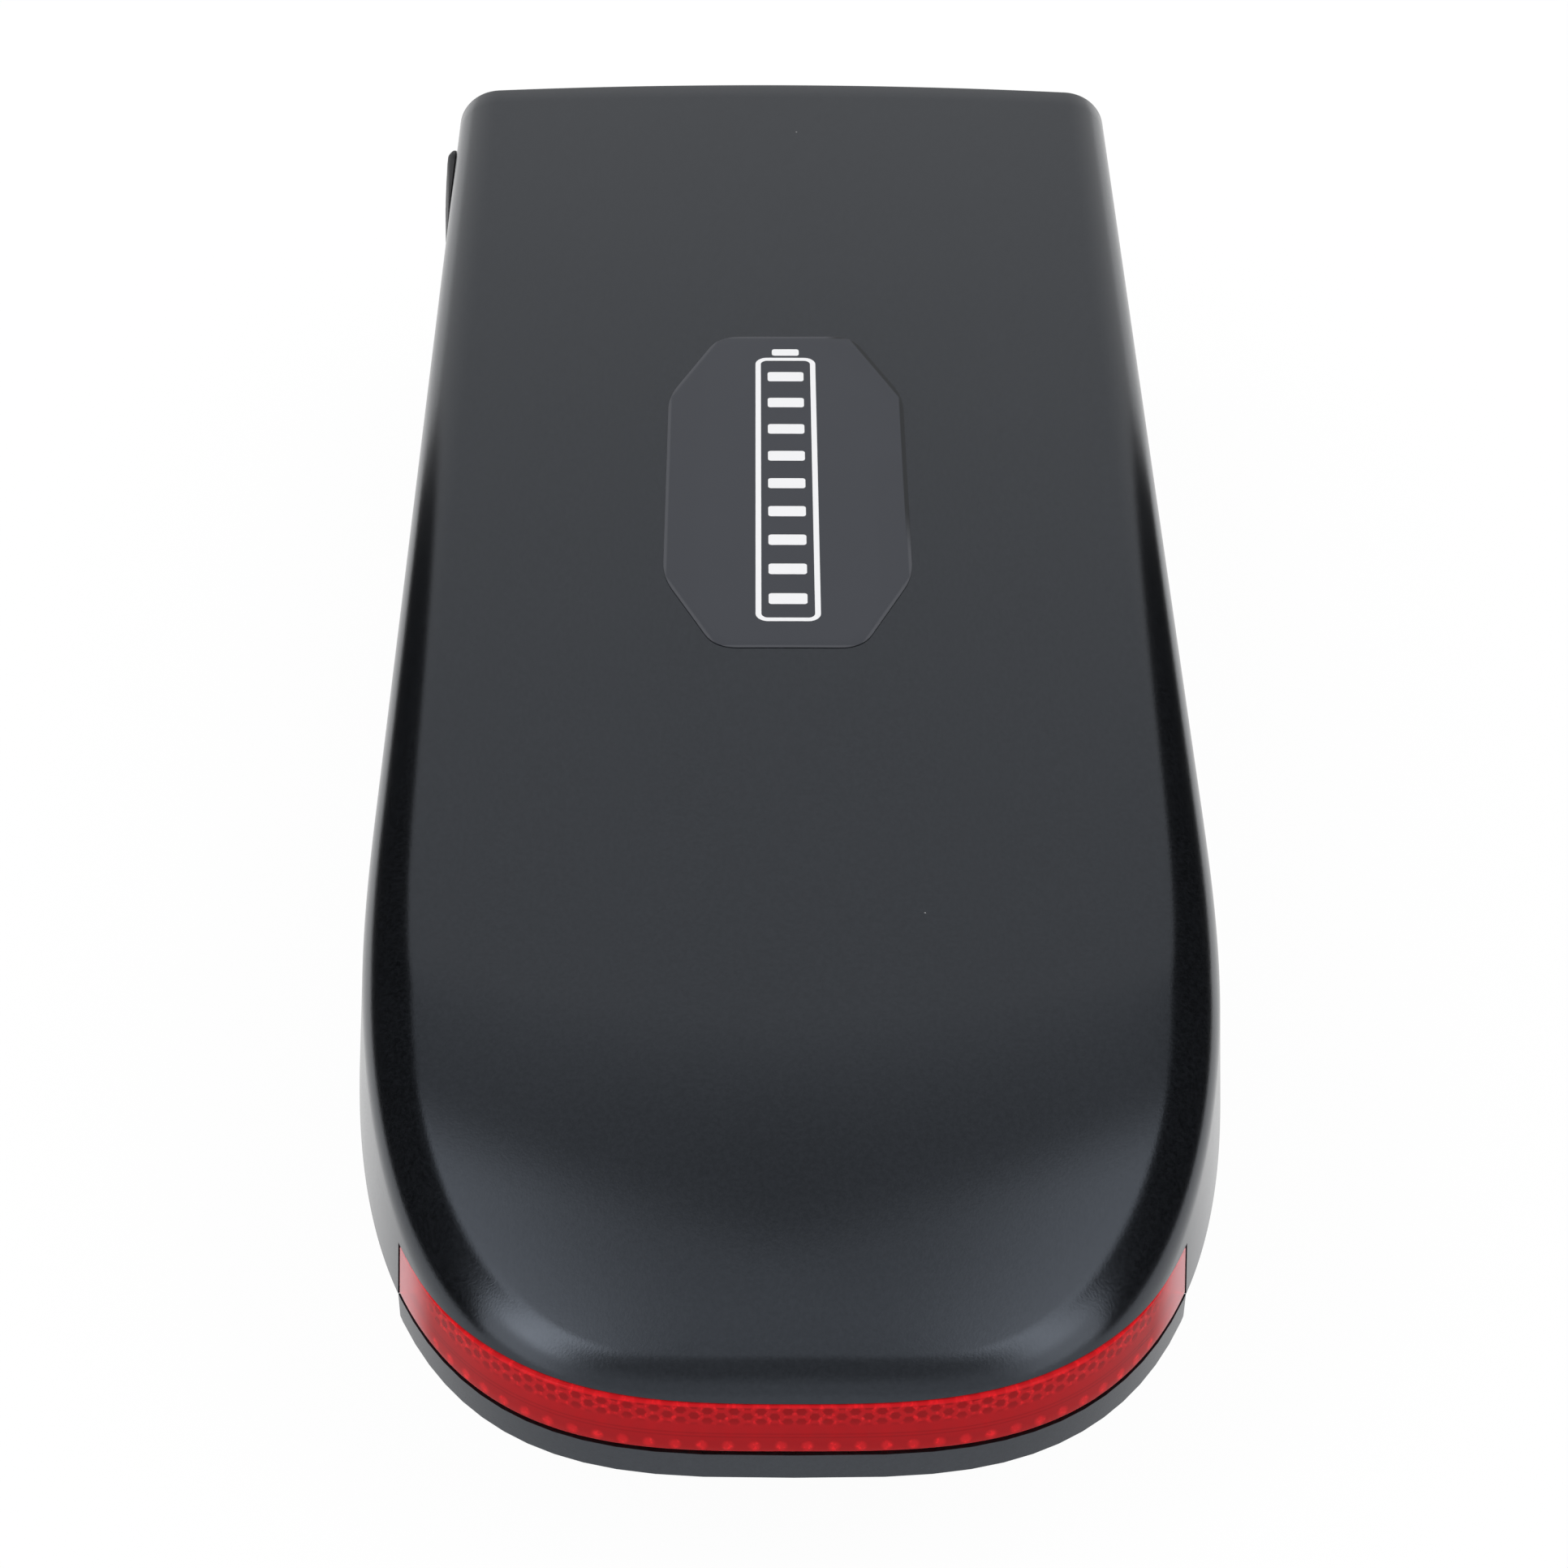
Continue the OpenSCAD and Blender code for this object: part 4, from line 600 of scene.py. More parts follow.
def quads(rows, columns, round_rows=False, first=0):
    """Corner numbers of a grid's quads. The grid closes on itself along its rows if asked."""
    r = np.arange(rows if round_rows else rows - 1)[:, None]
    c = np.arange(columns - 1)[None, :]
    a = r * columns + c
    b = (r + 1) % rows * columns + c
    return first + np.stack([a, b, b + 1, a + 1], axis=-1).reshape(-1, 4)


def turned_over(faces):
    """The same faces, with their fronts on the other side"""
    return [tuple(reversed(face)) for face in faces]


def joined(points, faces):
    """The numbers of the points that stay when those at one place are merged, and the faces
    between them. A quad that lost a corner becomes a triangle."""
    one_place = 0.1 * 1e-6
    cells = np.round(points / one_place).astype(np.int64)
    _, keep, number = np.unique(cells, axis=0, return_index=True, return_inverse=True)
    corners = number.ravel()[faces]
    repeated = corners == np.roll(corners, -1, axis=1)
    lost = repeated.sum(axis=1)
    whole, short = corners[lost == 0], corners[lost == 1]
    triangles = short[~repeated[lost == 1]].reshape(-1, 3)
    return keep, [tuple(face) for face in whole.tolist() + triangles.tolist()]


def thick_shell(outer, inner, faces):
    """A closed shell between two skins with the same grid, walled in along their open edges"""
    keep, faces = joined(outer, faces)
    count = len(keep)
    edges = dict.fromkeys((a, b) for face in faces for a, b in zip(face, face[1:] + face[:1]))
    rim = [(b, a, a + count, b + count) for a, b in edges if (b, a) not in edges]
    back = [tuple(i + count for i in face) for face in turned_over(faces)]
    return np.vstack([outer[keep], inner[keep]]), faces + back + rim


def way_along(st):
    """Each station's way along the plan from the first one: the sum of the steps between"""
    return np.concatenate([[0], np.cumsum(np.hypot(*np.diff(st[:, :2], axis=0).T))])


# The cover's skin

class Skin:
    """The cover's outer surface moved inward by an amount. The plan is straight, then a
    superellipse round the tail. A side wall that leans in runs up into an arc that touches both
    it and the crowned top, which falls off as a parabola towards the tail."""

    def __init__(self, sizes):
        self.s = sizes
        self.tail_start = -HALF_LENGTH + sizes.tail_length
        self.slope_start = -HALF_LENGTH + sizes.slope_run

    def tail(self, turn):
        """Stations round the right half of the tail, where turn goes from 0 to a quarter turn:
        x is the cosine to 2 / power, and the depth along y is the sine to 2 / power."""
        s = self.s
        across = np.cos(turn) ** (2 / s.tail_power_x)
        along = np.sin(turn) ** (2 / s.tail_power_y)
        grow_x = s.tail_power_x / HALF_WIDTH * across ** (s.tail_power_x - 1)
        grow_y = s.tail_power_y / s.tail_length * along ** (s.tail_power_y - 1)
        long = np.hypot(grow_x, grow_y)
        return np.stack([
            HALF_WIDTH * across, self.tail_start - s.tail_length * along,
            -grow_x / long, grow_y / long], axis=-1)

    def turn_at(self, y):
        """The turn at which the tail's curve reaches a y"""
        return math.asin(((self.tail_start - y) / self.s.tail_length) ** (self.s.tail_power_y / 2))

    def straight(self, ys):
        """Stations along the straight right side: x and y, and then the way in from there"""
        return np.stack([
            np.full(len(ys), HALF_WIDTH), ys, -np.ones(len(ys)), np.zeros(len(ys))], axis=-1)

    def inset(self, st, amount):
        """Places moved in from the stations by an amount"""
        return st[..., :2] + st[..., 2:] * np.asarray(amount)[..., None]

    def at(self, st, amount, height):
        """Points at a height, moved in from the stations by an amount"""
        xy = self.inset(st, amount)
        return np.concatenate([xy, np.broadcast_to(height, xy.shape[:-1])[..., None]], axis=-1)

    def lean(self, st):
        """How far the wall leans in for each metre of height: nothing at the tail's end"""
        return -math.tan(self.s.side_lean) * st[..., 0] / HALF_WIDTH * st[..., 2]

    def top(self, xy):
        """Height of the top: the crown is a parabola across, and the slope one along."""
        s = self.s
        x, y = xy[..., 0], xy[..., 1]
        crease = HALF_WIDTH - s.edge_radius
        fall = (self.slope_start - y + s.slope_bow * (x / HALF_WIDTH) ** 2) / s.slope_run
        return TOP_Z - s.crown * (x / crease) ** 2 - s.slope_drop * np.maximum(0, fall) ** 2

    def radius(self, st):
        """Radius of the rounded edge: it grows where the plan turns through half a right angle"""
        corner = np.clip(2 * np.abs(st[..., 2] * st[..., 3]), 0, 1) ** 2
        return self.s.edge_radius + self.s.corner_growth * corner

    def edge(self, st, off):
        """Centre of the rounded edge, by moving its point of touch on the top a few times"""
        rounds, small = 9, self.s.edge_radius / 100
        r = self.radius(st) - off
        lean = self.lean(st)
        touch = np.full(len(st), off + r)
        for _ in range(rounds):
            rise = self.top(self.inset(st, touch + small)) - self.top(self.inset(st, touch - small))
            slope = np.arctan(rise / (2 * small))
            z = self.top(self.inset(st, touch)) - off - r * np.cos(slope)
            inset = off + (z - PARTING_Z) * lean + r * np.sqrt(1 + lean ** 2)
            touch = inset - r * np.sin(slope)
        return inset, z, slope

    def columns(self, st, off, cut_z, low_rows, wall_rows, arc_rows, top_rows):
        """Points of each station: up the wall to the height where the lens cuts it, on to the
        rounded edge, round that, and in along the top to the ridge."""
        off = np.broadcast_to(off, (len(st),))
        inset, z, slope = self.edge(st, off)
        r = self.radius(st) - off
        lean = self.lean(st)
        low, high = np.arctan(lean), math.pi / 2 - slope
        bend_z = z + r * np.sin(low)
        knee = np.maximum(cut_z, bend_z)

        def at_height(height):
            on_wall = off + (height - PARTING_Z) * lean
            on_arc = inset - r * np.sqrt(1 - np.clip((height - z) / r, -1, 1) ** 2)
            return np.where(height < bend_z, on_wall, on_arc), height

        rows = [
            at_height(np.full(len(st), PARTING_Z + (cut_z - PARTING_Z) * k / low_rows))
            for k in range(low_rows + 1)]
        rows += [at_height(cut_z + (knee - cut_z) * k / wall_rows) for k in range(1, wall_rows + 1)]
        first = np.maximum(low, np.arcsin(np.clip((knee - z) / r, -1, 1)))
        for k in range(1, arc_rows + 1):
            b = first + (high - first) * k / arc_rows
            rows.append((inset - r * np.cos(b), z + r * np.sin(b)))
        walls = [self.at(st, amount, height) for amount, height in rows]
        edge = walls[-1][:, :2]
        # Round the tail the ridge is drawn in, so the top's rows don't crowd at its end.
        ridge_share = 0.45
        beyond = st[:, 1] - self.tail_start
        reach = np.where(beyond > 0, st[:, 1], self.tail_start + beyond * ridge_share)
        ridge = np.column_stack([np.zeros(len(st)), reach])
        tops = []
        for k in range(1, top_rows + 1):
            p = edge + (ridge - edge) * k / top_rows
            tops.append(np.column_stack([p, self.top(p) - off]))
        return np.stack(walls + tops, axis=1)


def mirrored(st):
    """The whole plan from the right half's stations, the last of which is on the middle line"""
    return np.vstack([st, st[-2::-1] * np.array([-1, 1, -1, 1])])


def settings():
    """The cover's sizes and the finishes, as the scene holds them"""
    return bpy.context.scene.rack_cover, bpy.context.scene.rack_finish


def local_frame(side, y, z):
    """Matrix of a side wall's frame: its z points out of the wall. Side is 1 or -1."""
    lean = bpy.context.scene.rack_cover.side_lean
    place = Vector((side * (HALF_WIDTH - (z - PARTING_Z) * math.tan(lean)), y, z))
    return Matrix.Translation(place) @ Matrix.Rotation(side * (math.pi / 2 - lean), 4, "Y")


def moved(points, matrix):
    """Points turned and shifted by a matrix"""
    m = np.array(matrix)
    return points @ m[:3, :3].T + m[:3, 3]


def middle(node):
    """Middle of a CAD node's box"""
    low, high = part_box(node)
    return (low + high) / 2


def lathe(profile, turns=48):
    """A profile of radius and height turned about z, as a closed skin of quads"""
    a = np.linspace(0, 2 * math.pi, turns, endpoint=False)
    r, z = np.array(profile).T
    heights = np.broadcast_to(z, (turns, len(z)))
    points = np.stack([np.outer(np.cos(a), r), np.outer(np.sin(a), r), heights], axis=-1)
    keep, faces = joined(points.reshape(-1, 3), quads(turns, len(z), round_rows=True))
    return points.reshape(-1, 3)[keep], faces


def drilled(made, holes):
    """Cuts round holes, each a radius and the matrix of its axis, through a finished piece."""
    cutter = bmesh.new()
    for radius, matrix in holes:
        bmesh.ops.create_cone(
            cutter, cap_ends=True, segments=64, radius1=radius, radius2=radius,
            depth=14 * MM, matrix=matrix)
    mesh = bpy.data.meshes.new("hole_cutter")
    cutter.to_mesh(mesh)
    cutter.free()
    tool = placed("hole_cutter", mesh)
    cut = made.modifiers.new("holes", "BOOLEAN")
    cut.operation, cut.solver, cut.object = "DIFFERENCE", "EXACT", tool
    graph = bpy.context.evaluated_depsgraph_get()
    made.data = bpy.data.meshes.new_from_object(made.evaluated_get(graph))
    made.modifiers.clear()
    smooth(made.data, SHARP_ANGLE)
    bpy.data.objects.remove(tool)


def finish_nodes(**finishes):
    """Gives CAD nodes, by their names, a finish in each of their slots."""
    for name, finish in finishes.items():
        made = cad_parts[name]
        if not made.material_slots:
            made.data.materials.append(finish)
        for slot in made.material_slots:
            slot.material = finish


def dressed(node, name, body, finish, bevel=0.0):
    """A copy of a CAD node with its points merged, shaded smooth, and its edges broken"""
    work = bmesh.new()
    work.from_mesh(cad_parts[node].data)
    bmesh.ops.remove_doubles(work, verts=work.verts, dist=0.002 * MM)
    if bevel:
        bmesh.ops.dissolve_limit(
            work, angle_limit=math.radians(0.5), verts=work.verts, edges=work.edges)
    mesh = bpy.data.meshes.new(name)
    work.to_mesh(mesh)
    work.free()
    # Normals kept from the loose triangles don't fit the merged points.
    old_normals = mesh.attributes.get("custom_normal")
    if old_normals:
        mesh.attributes.remove(old_normals)
    made = standing_for(node, name, mesh, finish, body, math.radians(30))
    if bevel:
        edge = made.modifiers.new("broken edges", "BEVEL")
        edge.width, edge.segments = bevel, 2
        edge.limit_method, edge.angle_limit = "ANGLE", math.radians(40)
        edge.use_clamp_overlap = True


# Operators

class RACK_OT_cover(bpy.types.Operator):
    """The satin top cover as one smooth shell, open where the lens, port and gauge are"""
    bl_idname = "rack.cover"
    bl_label = "Top cover"

    def execute(self, context):
        size, look = settings()
        skin = Skin(size)
        lens_end = LENS_HIGH.y + 0.8 * MM
        lens_turn = skin.turn_at(lens_end)
        tail = np.concatenate([
            np.linspace(0, lens_turn, 60), np.linspace(lens_turn, math.pi / 2, 110)[1:]])
        straight = np.linspace(HALF_LENGTH, skin.tail_start, 42)[1:-1]
        bend = np.linspace(math.pi / 2, 0, 5)
        low_rows, wall_rows, arc_rows, top_rows = 4, 3, 20, 30
        cut_z = LENS_HIGH.z + 0.2 * MM

        def grid(off, radius):
            """The plan and a skin's points. The front edge is rounded: the first stations are
            pulled in as round a quarter circle."""
            ys = HALF_LENGTH - off - radius + radius * np.sin(bend)
            right = np.vstack([skin.straight(ys), skin.straight(straight), skin.tail(tail)])
            pull = np.concatenate([radius * (1 - np.cos(bend)), np.zeros(len(right) - len(ys))])
            st, pull = mirrored(right), np.concatenate([pull, pull[-2::-1]])
            return st, skin.columns(
                st, off + pull, cut_z, low_rows, wall_rows, arc_rows, top_rows)

        st, outer = grid(0.0, size.front_radius)
        _, inner = grid(size.wall, 0.2 * MM)
        columns, rows = outer.shape[:2]
        faces = quads(columns, rows).reshape(columns - 1, rows - 1, 4)
        at_lens = st[:, 1] <= lens_end + 1e-6
        shown = np.ones((columns - 1, rows - 1), bool)
        shown[at_lens[:-1] & at_lens[1:], :low_rows] = False
        faces = faces[shown]

        # The front face: each row runs straight across from the left side to the right.
        lanes = 9
        share = np.linspace(0, 1, lanes)[:, None, None]

        def with_front(skin_grid):
            face = skin_grid[-1][None] * (1 - share) + skin_grid[0][None] * share
            return np.vstack([skin_grid.reshape(-1, 3), face.reshape(-1, 3)])

        front = quads(lanes, rows, first=columns * rows)
        points, faces = thick_shell(with_front(outer), with_front(inner), np.vstack([faces, front]))
        made = piece(
            "top_cover", "cover_shell", points, faces,
            satin_cover("Satin black cover", look.cover_colour, look.cover_roughness),
            "case")
        drilled(made, self.holes())
        return {"FINISHED"}

    def holes(self):
        """Radius and axis of the charge port's hole, the power button's and the four lights'"""
        port, button = middle("charge_socket"), middle("power_button")
        port_r, button_r, light_r = 7.2 * MM, 5.25 * MM, 1.7 * MM
        port_z, gauge_z = PARTING_Z + PORT_HEIGHT, PARTING_Z + GAUGE_HEIGHT
        light_y, light_pitch = button.y - 10 * MM, 6 * MM
        lights = [local_frame(1, light_y - k * light_pitch, gauge_z) for k in range(4)]
        return [
            (port_r, local_frame(-1, port.y, port_z)),
            (button_r, local_frame(1, button.y, gauge_z)),
            *[(light_r, matrix) for matrix in lights]]


class RACK_OT_lower_case(bpy.types.Operator):
    """The lower case with its rim, its seal, and the slide rails with their screws"""
    bl_idname = "rack.lower_case"
    bl_label = "Lower case"

    def execute(self, context):
        _, look = settings()
        case = satin_cover("Satin black lower case", look.case_colour, look.cover_roughness + 0.1)
        rail = moulded("Black rail", (0.014, 0.014, 0.015), 0.42, 0.4 * MM, 0.02 * MM)
        dressed("bottom_case", "lower_case", "case", case)
        for side in ("left", "right"):
            dressed(f"{side}_rail", f"{side}_slide_rail", "case", rail, 0.25 * MM)
        seal = rubber("Seal rubber", (0.012, 0.012, 0.013))
        steel = metal("Zinc plated steel", (0.6, 0.6, 0.62), 0.32)
        dressed("rail_screws", "slide_rail_screws", "case", steel, 0.12 * MM)
        black = metal("Black screws", (0.05, 0.05, 0.052), 0.4)
        dressed("case_screws", "case_screw_set", "case", black, 0.12 * MM)
        finish_nodes(case_gasket=seal, board_screws=steel)
        return {"FINISHED"}


class RACK_OT_tail_lamp(bpy.types.Operator):
    """The red lens and, behind it, the insert with its prisms and dots"""
    bl_idname = "rack.tail_lamp"
    bl_label = "Tail lamp"

    def execute(self, context):
        size, look = settings()
        skin = Skin(size)
        self.lens(skin, look)
        self.insert(skin)
        finish_nodes(
            lamp_housing=moulded("Lamp housing", (0.02, 0.02, 0.022), 0.5),
            lamp_board=circuit_board("White board", (0.7, 0.7, 0.68)),
            lamp_leds=frosted("Lamp diodes", (0.9, 0.8, 0.4)),
            lamp_lead=sleeve("Black lead", (0.012, 0.012, 0.012)))
        return {"FINISHED"}

    def lens(self, skin, look):
        """A closed profile of inset and height, its outer edges rounded, carried round the tail.
        The mesh keeps, as spread, where on the lens each of its points is."""
        st = mirrored(skin.tail(np.linspace(skin.turn_at(LENS_HIGH.y), math.pi / 2, 130)))
        soft = 0.35 * MM
        foot_z, body_z, top_z = LENS_LOW.z, LENS_LOW.z + LENS_STEP, LENS_HIGH.z
        bend = np.linspace(0, math.pi / 2, 5)
        outline = [(LENS_THICK, foot_z), (LENS_THICK / 2, foot_z), (LENS_THICK / 2, body_z)]
        outline += [(soft - soft * math.sin(a), body_z + soft - soft * math.cos(a)) for a in bend]
        outline += [(0.0, z) for z in np.linspace(body_z + soft, top_z - soft, 8)[1:-1]]
        outline += [(soft - soft * math.cos(a), top_z - soft + soft * math.sin(a)) for a in bend]
        outline += [(LENS_THICK, top_z)]
        inset, height = np.array(outline).T[..., None]
        ring = skin.at(st, inset + (height - PARTING_Z) * skin.lean(st), height)
        count, along = ring.shape[:2]
        faces = quads(count, along, round_rows=True).tolist()
        faces += [[k * along for k in range(count)]]
        faces += [[k * along + along - 1 for k in reversed(range(count))]]
        made = piece(
            "tail_lens", "red_lens", ring.reshape(-1, 3), turned_over(faces),
            red_lens("Clear red lens", look.lens_colour, top_z - body_z), "case")
        way = way_along(st)
        from_middle = np.abs(way - way[-1] / 2)
        spread = np.stack(np.broadcast_arrays(
            from_middle, top_z - height, way[-1] / 2 - from_middle), axis=-1)
        kept = made.data.attributes.new("spread", "FLOAT_VECTOR", "POINT")
        kept.data.foreach_set("vector", spread.ravel())

    def insert(self, skin):
        """A band behind the lens, of stations at even steps along the plan. Its front is a relief,
        and the mesh keeps a painted brightness, lighter where the relief stands higher, as relief.
        The values are in the grid's order, and the shell's points are sorted, so the brightness
        doesn't follow the relief's shape."""
        thick, gap, columns, rows = 1.6 * MM, 1.1 * MM, 410, 50
        low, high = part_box("reflex_insert")
        turns = np.linspace(skin.turn_at(high.y), math.pi / 2, 2400)
        length = way_along(skin.tail(turns))
        wanted = np.linspace(0, length[-1], columns)
        st = mirrored(skin.tail(np.interp(wanted, length, turns)))
        along = length[-1] - np.concatenate([wanted, wanted[-2::-1]])[:, None]
        z = np.linspace(low.z, high.z, rows)
        relief, painted_light = self.relief(along, LENS_HIGH.z - z, length[-1] - along)

        face = LENS_THICK + gap
        leant = (z - PARTING_Z) * skin.lean(st)[:, None]
        front, back = [
            skin.at(st[:, None], amount + leant, z).reshape(-1, 3)
            for amount in (face - relief, face + thick)]
        points, faces = thick_shell(front, back, quads(*relief.shape))
        made = piece(
            "reflex_insert", "prism_insert", points, faces, prism_plastic("Metallised prisms"),
            "case", sharp=math.radians(25))
        shades = np.concatenate([painted_light.ravel(), np.zeros(painted_light.size)])
        # The relief attribute holds the painted brightness, as painted light.
        made.data.attributes.new("relief", "FLOAT", "POINT").data.foreach_set("value", shades)

    def relief(self, along, depth, left):
        """The relief's height, and its painted brightness, which grows with the height, over the
        way along from the middle, the depth below the top and the way to the end. Each six-sided
        pyramid falls with the six-sided distance from its middle, each dome is the root of one less
        the squared distance, and two lines stand out a little. Pyramids lie in columns whose
        neighbours are half a cell apart."""
        prism_tall, dome_tall, line_tall, line_half = 0.9 * MM, 0.8 * MM, 0.06 * MM, 0.14 * MM
        band_end, plain_start, plain_run = 4.3 * MM, 8 * MM, 9 * MM
        tall = LENS_HIGH.z - LENS_LOW.z - LENS_STEP
        column = along / PRISM_COLUMN
        across = np.abs(column % 1 - 0.5) * PRISM_COLUMN
        down = np.abs((depth / PRISM_CELL + np.floor(column) % 2 / 2) % 1 - 0.5) * PRISM_CELL
        hexagon = np.maximum(down, down / 2 + across * math.sqrt(3) / 2)
        prisms = np.clip(1 - 2 * hexagon / PRISM_CELL, 0, 1) * prism_tall
        across = ((along / DOT_PITCH) % 1 - 0.5) * DOT_PITCH
        down = depth - tall * DOT_DEPTH
        dome = np.clip(1 - (across ** 2 + down ** 2) / DOT_RADIUS ** 2, 0, 1) ** 0.5 * dome_tall
        near_line = np.minimum(*[np.abs(depth - tall * share) for share in LINE_DEPTHS])
        lines = line_tall * (near_line < line_half)
        band = depth < band_end
        relief = np.where(band, prisms, np.maximum(dome, lines))
        relief = relief * np.clip((left - plain_start) / plain_run, 0, 1)
        # Painted brightness, as painted light: it grows with the relief's height.
        plain = np.where(band, 0.0, 0.45)
        return relief, np.clip(plain + relief / np.where(band, prism_tall, dome_tall), 0, 1)


class RACK_OT_label(bpy.types.Operator):
    """The thin eight-sided film on the top, a little lifted along its far right corner"""
    bl_idname = "rack.label"
    bl_label = "Label"

    def execute(self, context):
        """A profile of share and height, carried round the outline: from the middle out to a
        rounded edge, and back below. The curl is a parabola towards the far right corner."""
        size, look = settings()
        film, soft, gap = 0.15 * MM, 0.04 * MM, 0.03 * MM
        curl_height, curl_start, curl_run = 0.28 * MM, 0.95, 0.75
        rim = soft / LABEL_HALF_X
        rise = [(share * (1 - rim), film) for share in np.linspace(0, 1, 24)[:-1]]
        rise += [(1 - rim * (1 - math.sin(a)), film - soft + soft * math.cos(a))
                 for a in np.linspace(0, math.pi / 2, 5)]
        rise += [(1.0, 0.0), (0.0, 0.0)]
        share, height = np.array(rise).T
        outline = self.outline()
        xy = outline[:, None, :] * share[None, :, None]
        far_right = xy[..., 0] / LABEL_HALF_X + xy[..., 1] / LABEL_HALF_Y
        curl = np.clip((far_right - curl_start) / curl_run, 0, 1) ** 2 * curl_height
        xy = xy + np.array(LABEL_MIDDLE[:2])
        z = Skin(size).top(xy) + gap + curl + height[None, :]
        points = np.concatenate([xy, z[..., None]], axis=-1).reshape(-1, 3)
        keep, faces = joined(points, quads(len(outline), len(share), round_rows=True))
        piece(
            "label_plate", "label_film", points[keep], turned_over(faces),
            label_film("Label film", look.label_colour, look.mark_colour), "case")
        return {"FINISHED"}

    def outline(self):
        """An eight-sided outline whose corners are parabolas between points near each corner"""
        half_w, half_l, soft = LABEL_HALF_X, LABEL_HALF_Y, 4.5 * MM
        cut_x, cut_y = half_w * LABEL_CUT, half_l * LABEL_CUT
        quarter = [(half_w, half_l - cut_y), (half_w - cut_x, half_l)]
        corners = quarter + [(-x, y) for x, y in reversed(quarter)]
        corners = np.array(corners + [(-x, -y) for x, y in corners])
        t = np.linspace(0, 1, 9)[:, None]
        points = []
        for k, corner in enumerate(corners):
            following = corners[(k + 1) % len(corners)]
            back, ahead = corners[k - 1] - corner, following - corner
            step = ahead / np.linalg.norm(ahead) * soft
            a, b = corner + back / np.linalg.norm(back) * soft, corner + step
            points.append((1 - t) ** 2 * a + 2 * t * (1 - t) * corner + t ** 2 * b)
            points.append(b + (following - step - b) * np.linspace(0, 1, 10)[1:-1, None])
        return np.vstack(points)


class RACK_OT_charge_port(bpy.types.Operator):
    """The charge port's socket, contacts and domed rubber cap"""
    bl_idname = "rack.charge_port"
    bl_label = "Charge port"

    def execute(self, context):
        port = middle("charge_socket")
        self.cap(local_frame(-1, port.y, PARTING_Z + PORT_HEIGHT))
        black = moulded("Socket plastic", (0.016, 0.016, 0.018), 0.35)
        dressed("charge_socket", "charger_socket", "case", black, 0.2 * MM)
        brass = metal("Plated contacts", (0.85, 0.66, 0.3), 0.22)
        dressed("charge_contacts", "charger_pins", "case", brass, 0.2 * MM)
        finish_nodes(
            charge_nut=metal("Port nut", (0.6, 0.6, 0.62), 0.35),
            charge_leads=sleeve("Charge leads", (0.3, 0.02, 0.02)))
        return {"FINISHED"}

    def cap(self, place):
        """A cap whose outline, a superellipse, shrinks and rises to a dome on the outside and
        turns into the round plug on the inside. Its thickness grows along its length up to a
        sloping end, and a tab for a finger stands out below."""
        half_h, half_l, lift, thick, tail_thick = 8.5 * MM, 13 * MM, 0.3 * MM, 2.4 * MM, 0.5 * MM
        plug_r, plug_in, plug_soft, power, soft = 3.7 * MM, 2.0 * MM, 0.4 * MM, 4.5, 0.8 * MM
        end_slope, tab_half, tab_out, tab_thick = 5.5 * MM, 4.4 * MM, 2.6 * MM, 0.45 * MM
        a = np.linspace(0, 2 * math.pi, 96, endpoint=False)
        spread = (np.abs(np.cos(a)) ** power + np.abs(np.sin(a)) ** power) ** (-1 / power)
        pad = np.stack([np.cos(a) * spread * half_h, np.sin(a) * spread * half_l], axis=-1)
        disc = np.stack([np.cos(a) * plug_r, np.sin(a) * plug_r], axis=-1)
        rows = [(pad * s, lift + thick * (1 - 0.1 * s ** 3)) for s in (0, 0.25, 0.5, 0.75)]
        for x in np.linspace(0, math.pi / 2, 9):
            in_by = soft / half_h * (1 - math.sin(x))
            rows.append((pad * (1 - in_by), lift + thick * (0.55 + 0.35 * math.cos(x))))
        rows += [(pad, lift + thick * 0.1), (pad * 0.985, lift), (disc, lift)]
        rows += [(disc, plug_soft - plug_in), (disc * 0.9, -plug_in), (disc * 0, -plug_in)]
        points = np.stack([
            np.column_stack([xy, np.full(len(a), z)]) for xy, z in rows], axis=1)
        x, y, z = points[..., 0], points[..., 1], points[..., 2]
        share = np.clip((y + half_l) / (2 * half_l), 0, 1)
        taper = (tail_thick + (thick - tail_thick) * share) / thick
        taper = taper * (0.1 + 0.9 * np.clip((half_l - y) / end_slope, 0, 1))
        z = np.where(z > lift, lift + (z - lift) * taper, z)
        width = np.clip(1 - (y / tab_half) ** 2, 0, 1) ** 0.5
        reach = np.clip(-x / half_h, 0, 1) ** 8
        low = (z > lift - 1e-6) & (z - lift < tab_thick)
        x = x - np.where(low, tab_out * width * reach, 0.0)
        points = np.stack([x, y, z], axis=-1).reshape(-1, 3)
        keep, faces = joined(points, quads(len(a), len(rows), round_rows=True))
        piece(
            "charge_cap", "port_cap", moved(points[keep], place), turned_over(faces),
            rubber("Cap rubber", (0.02, 0.021, 0.024)), "cap")


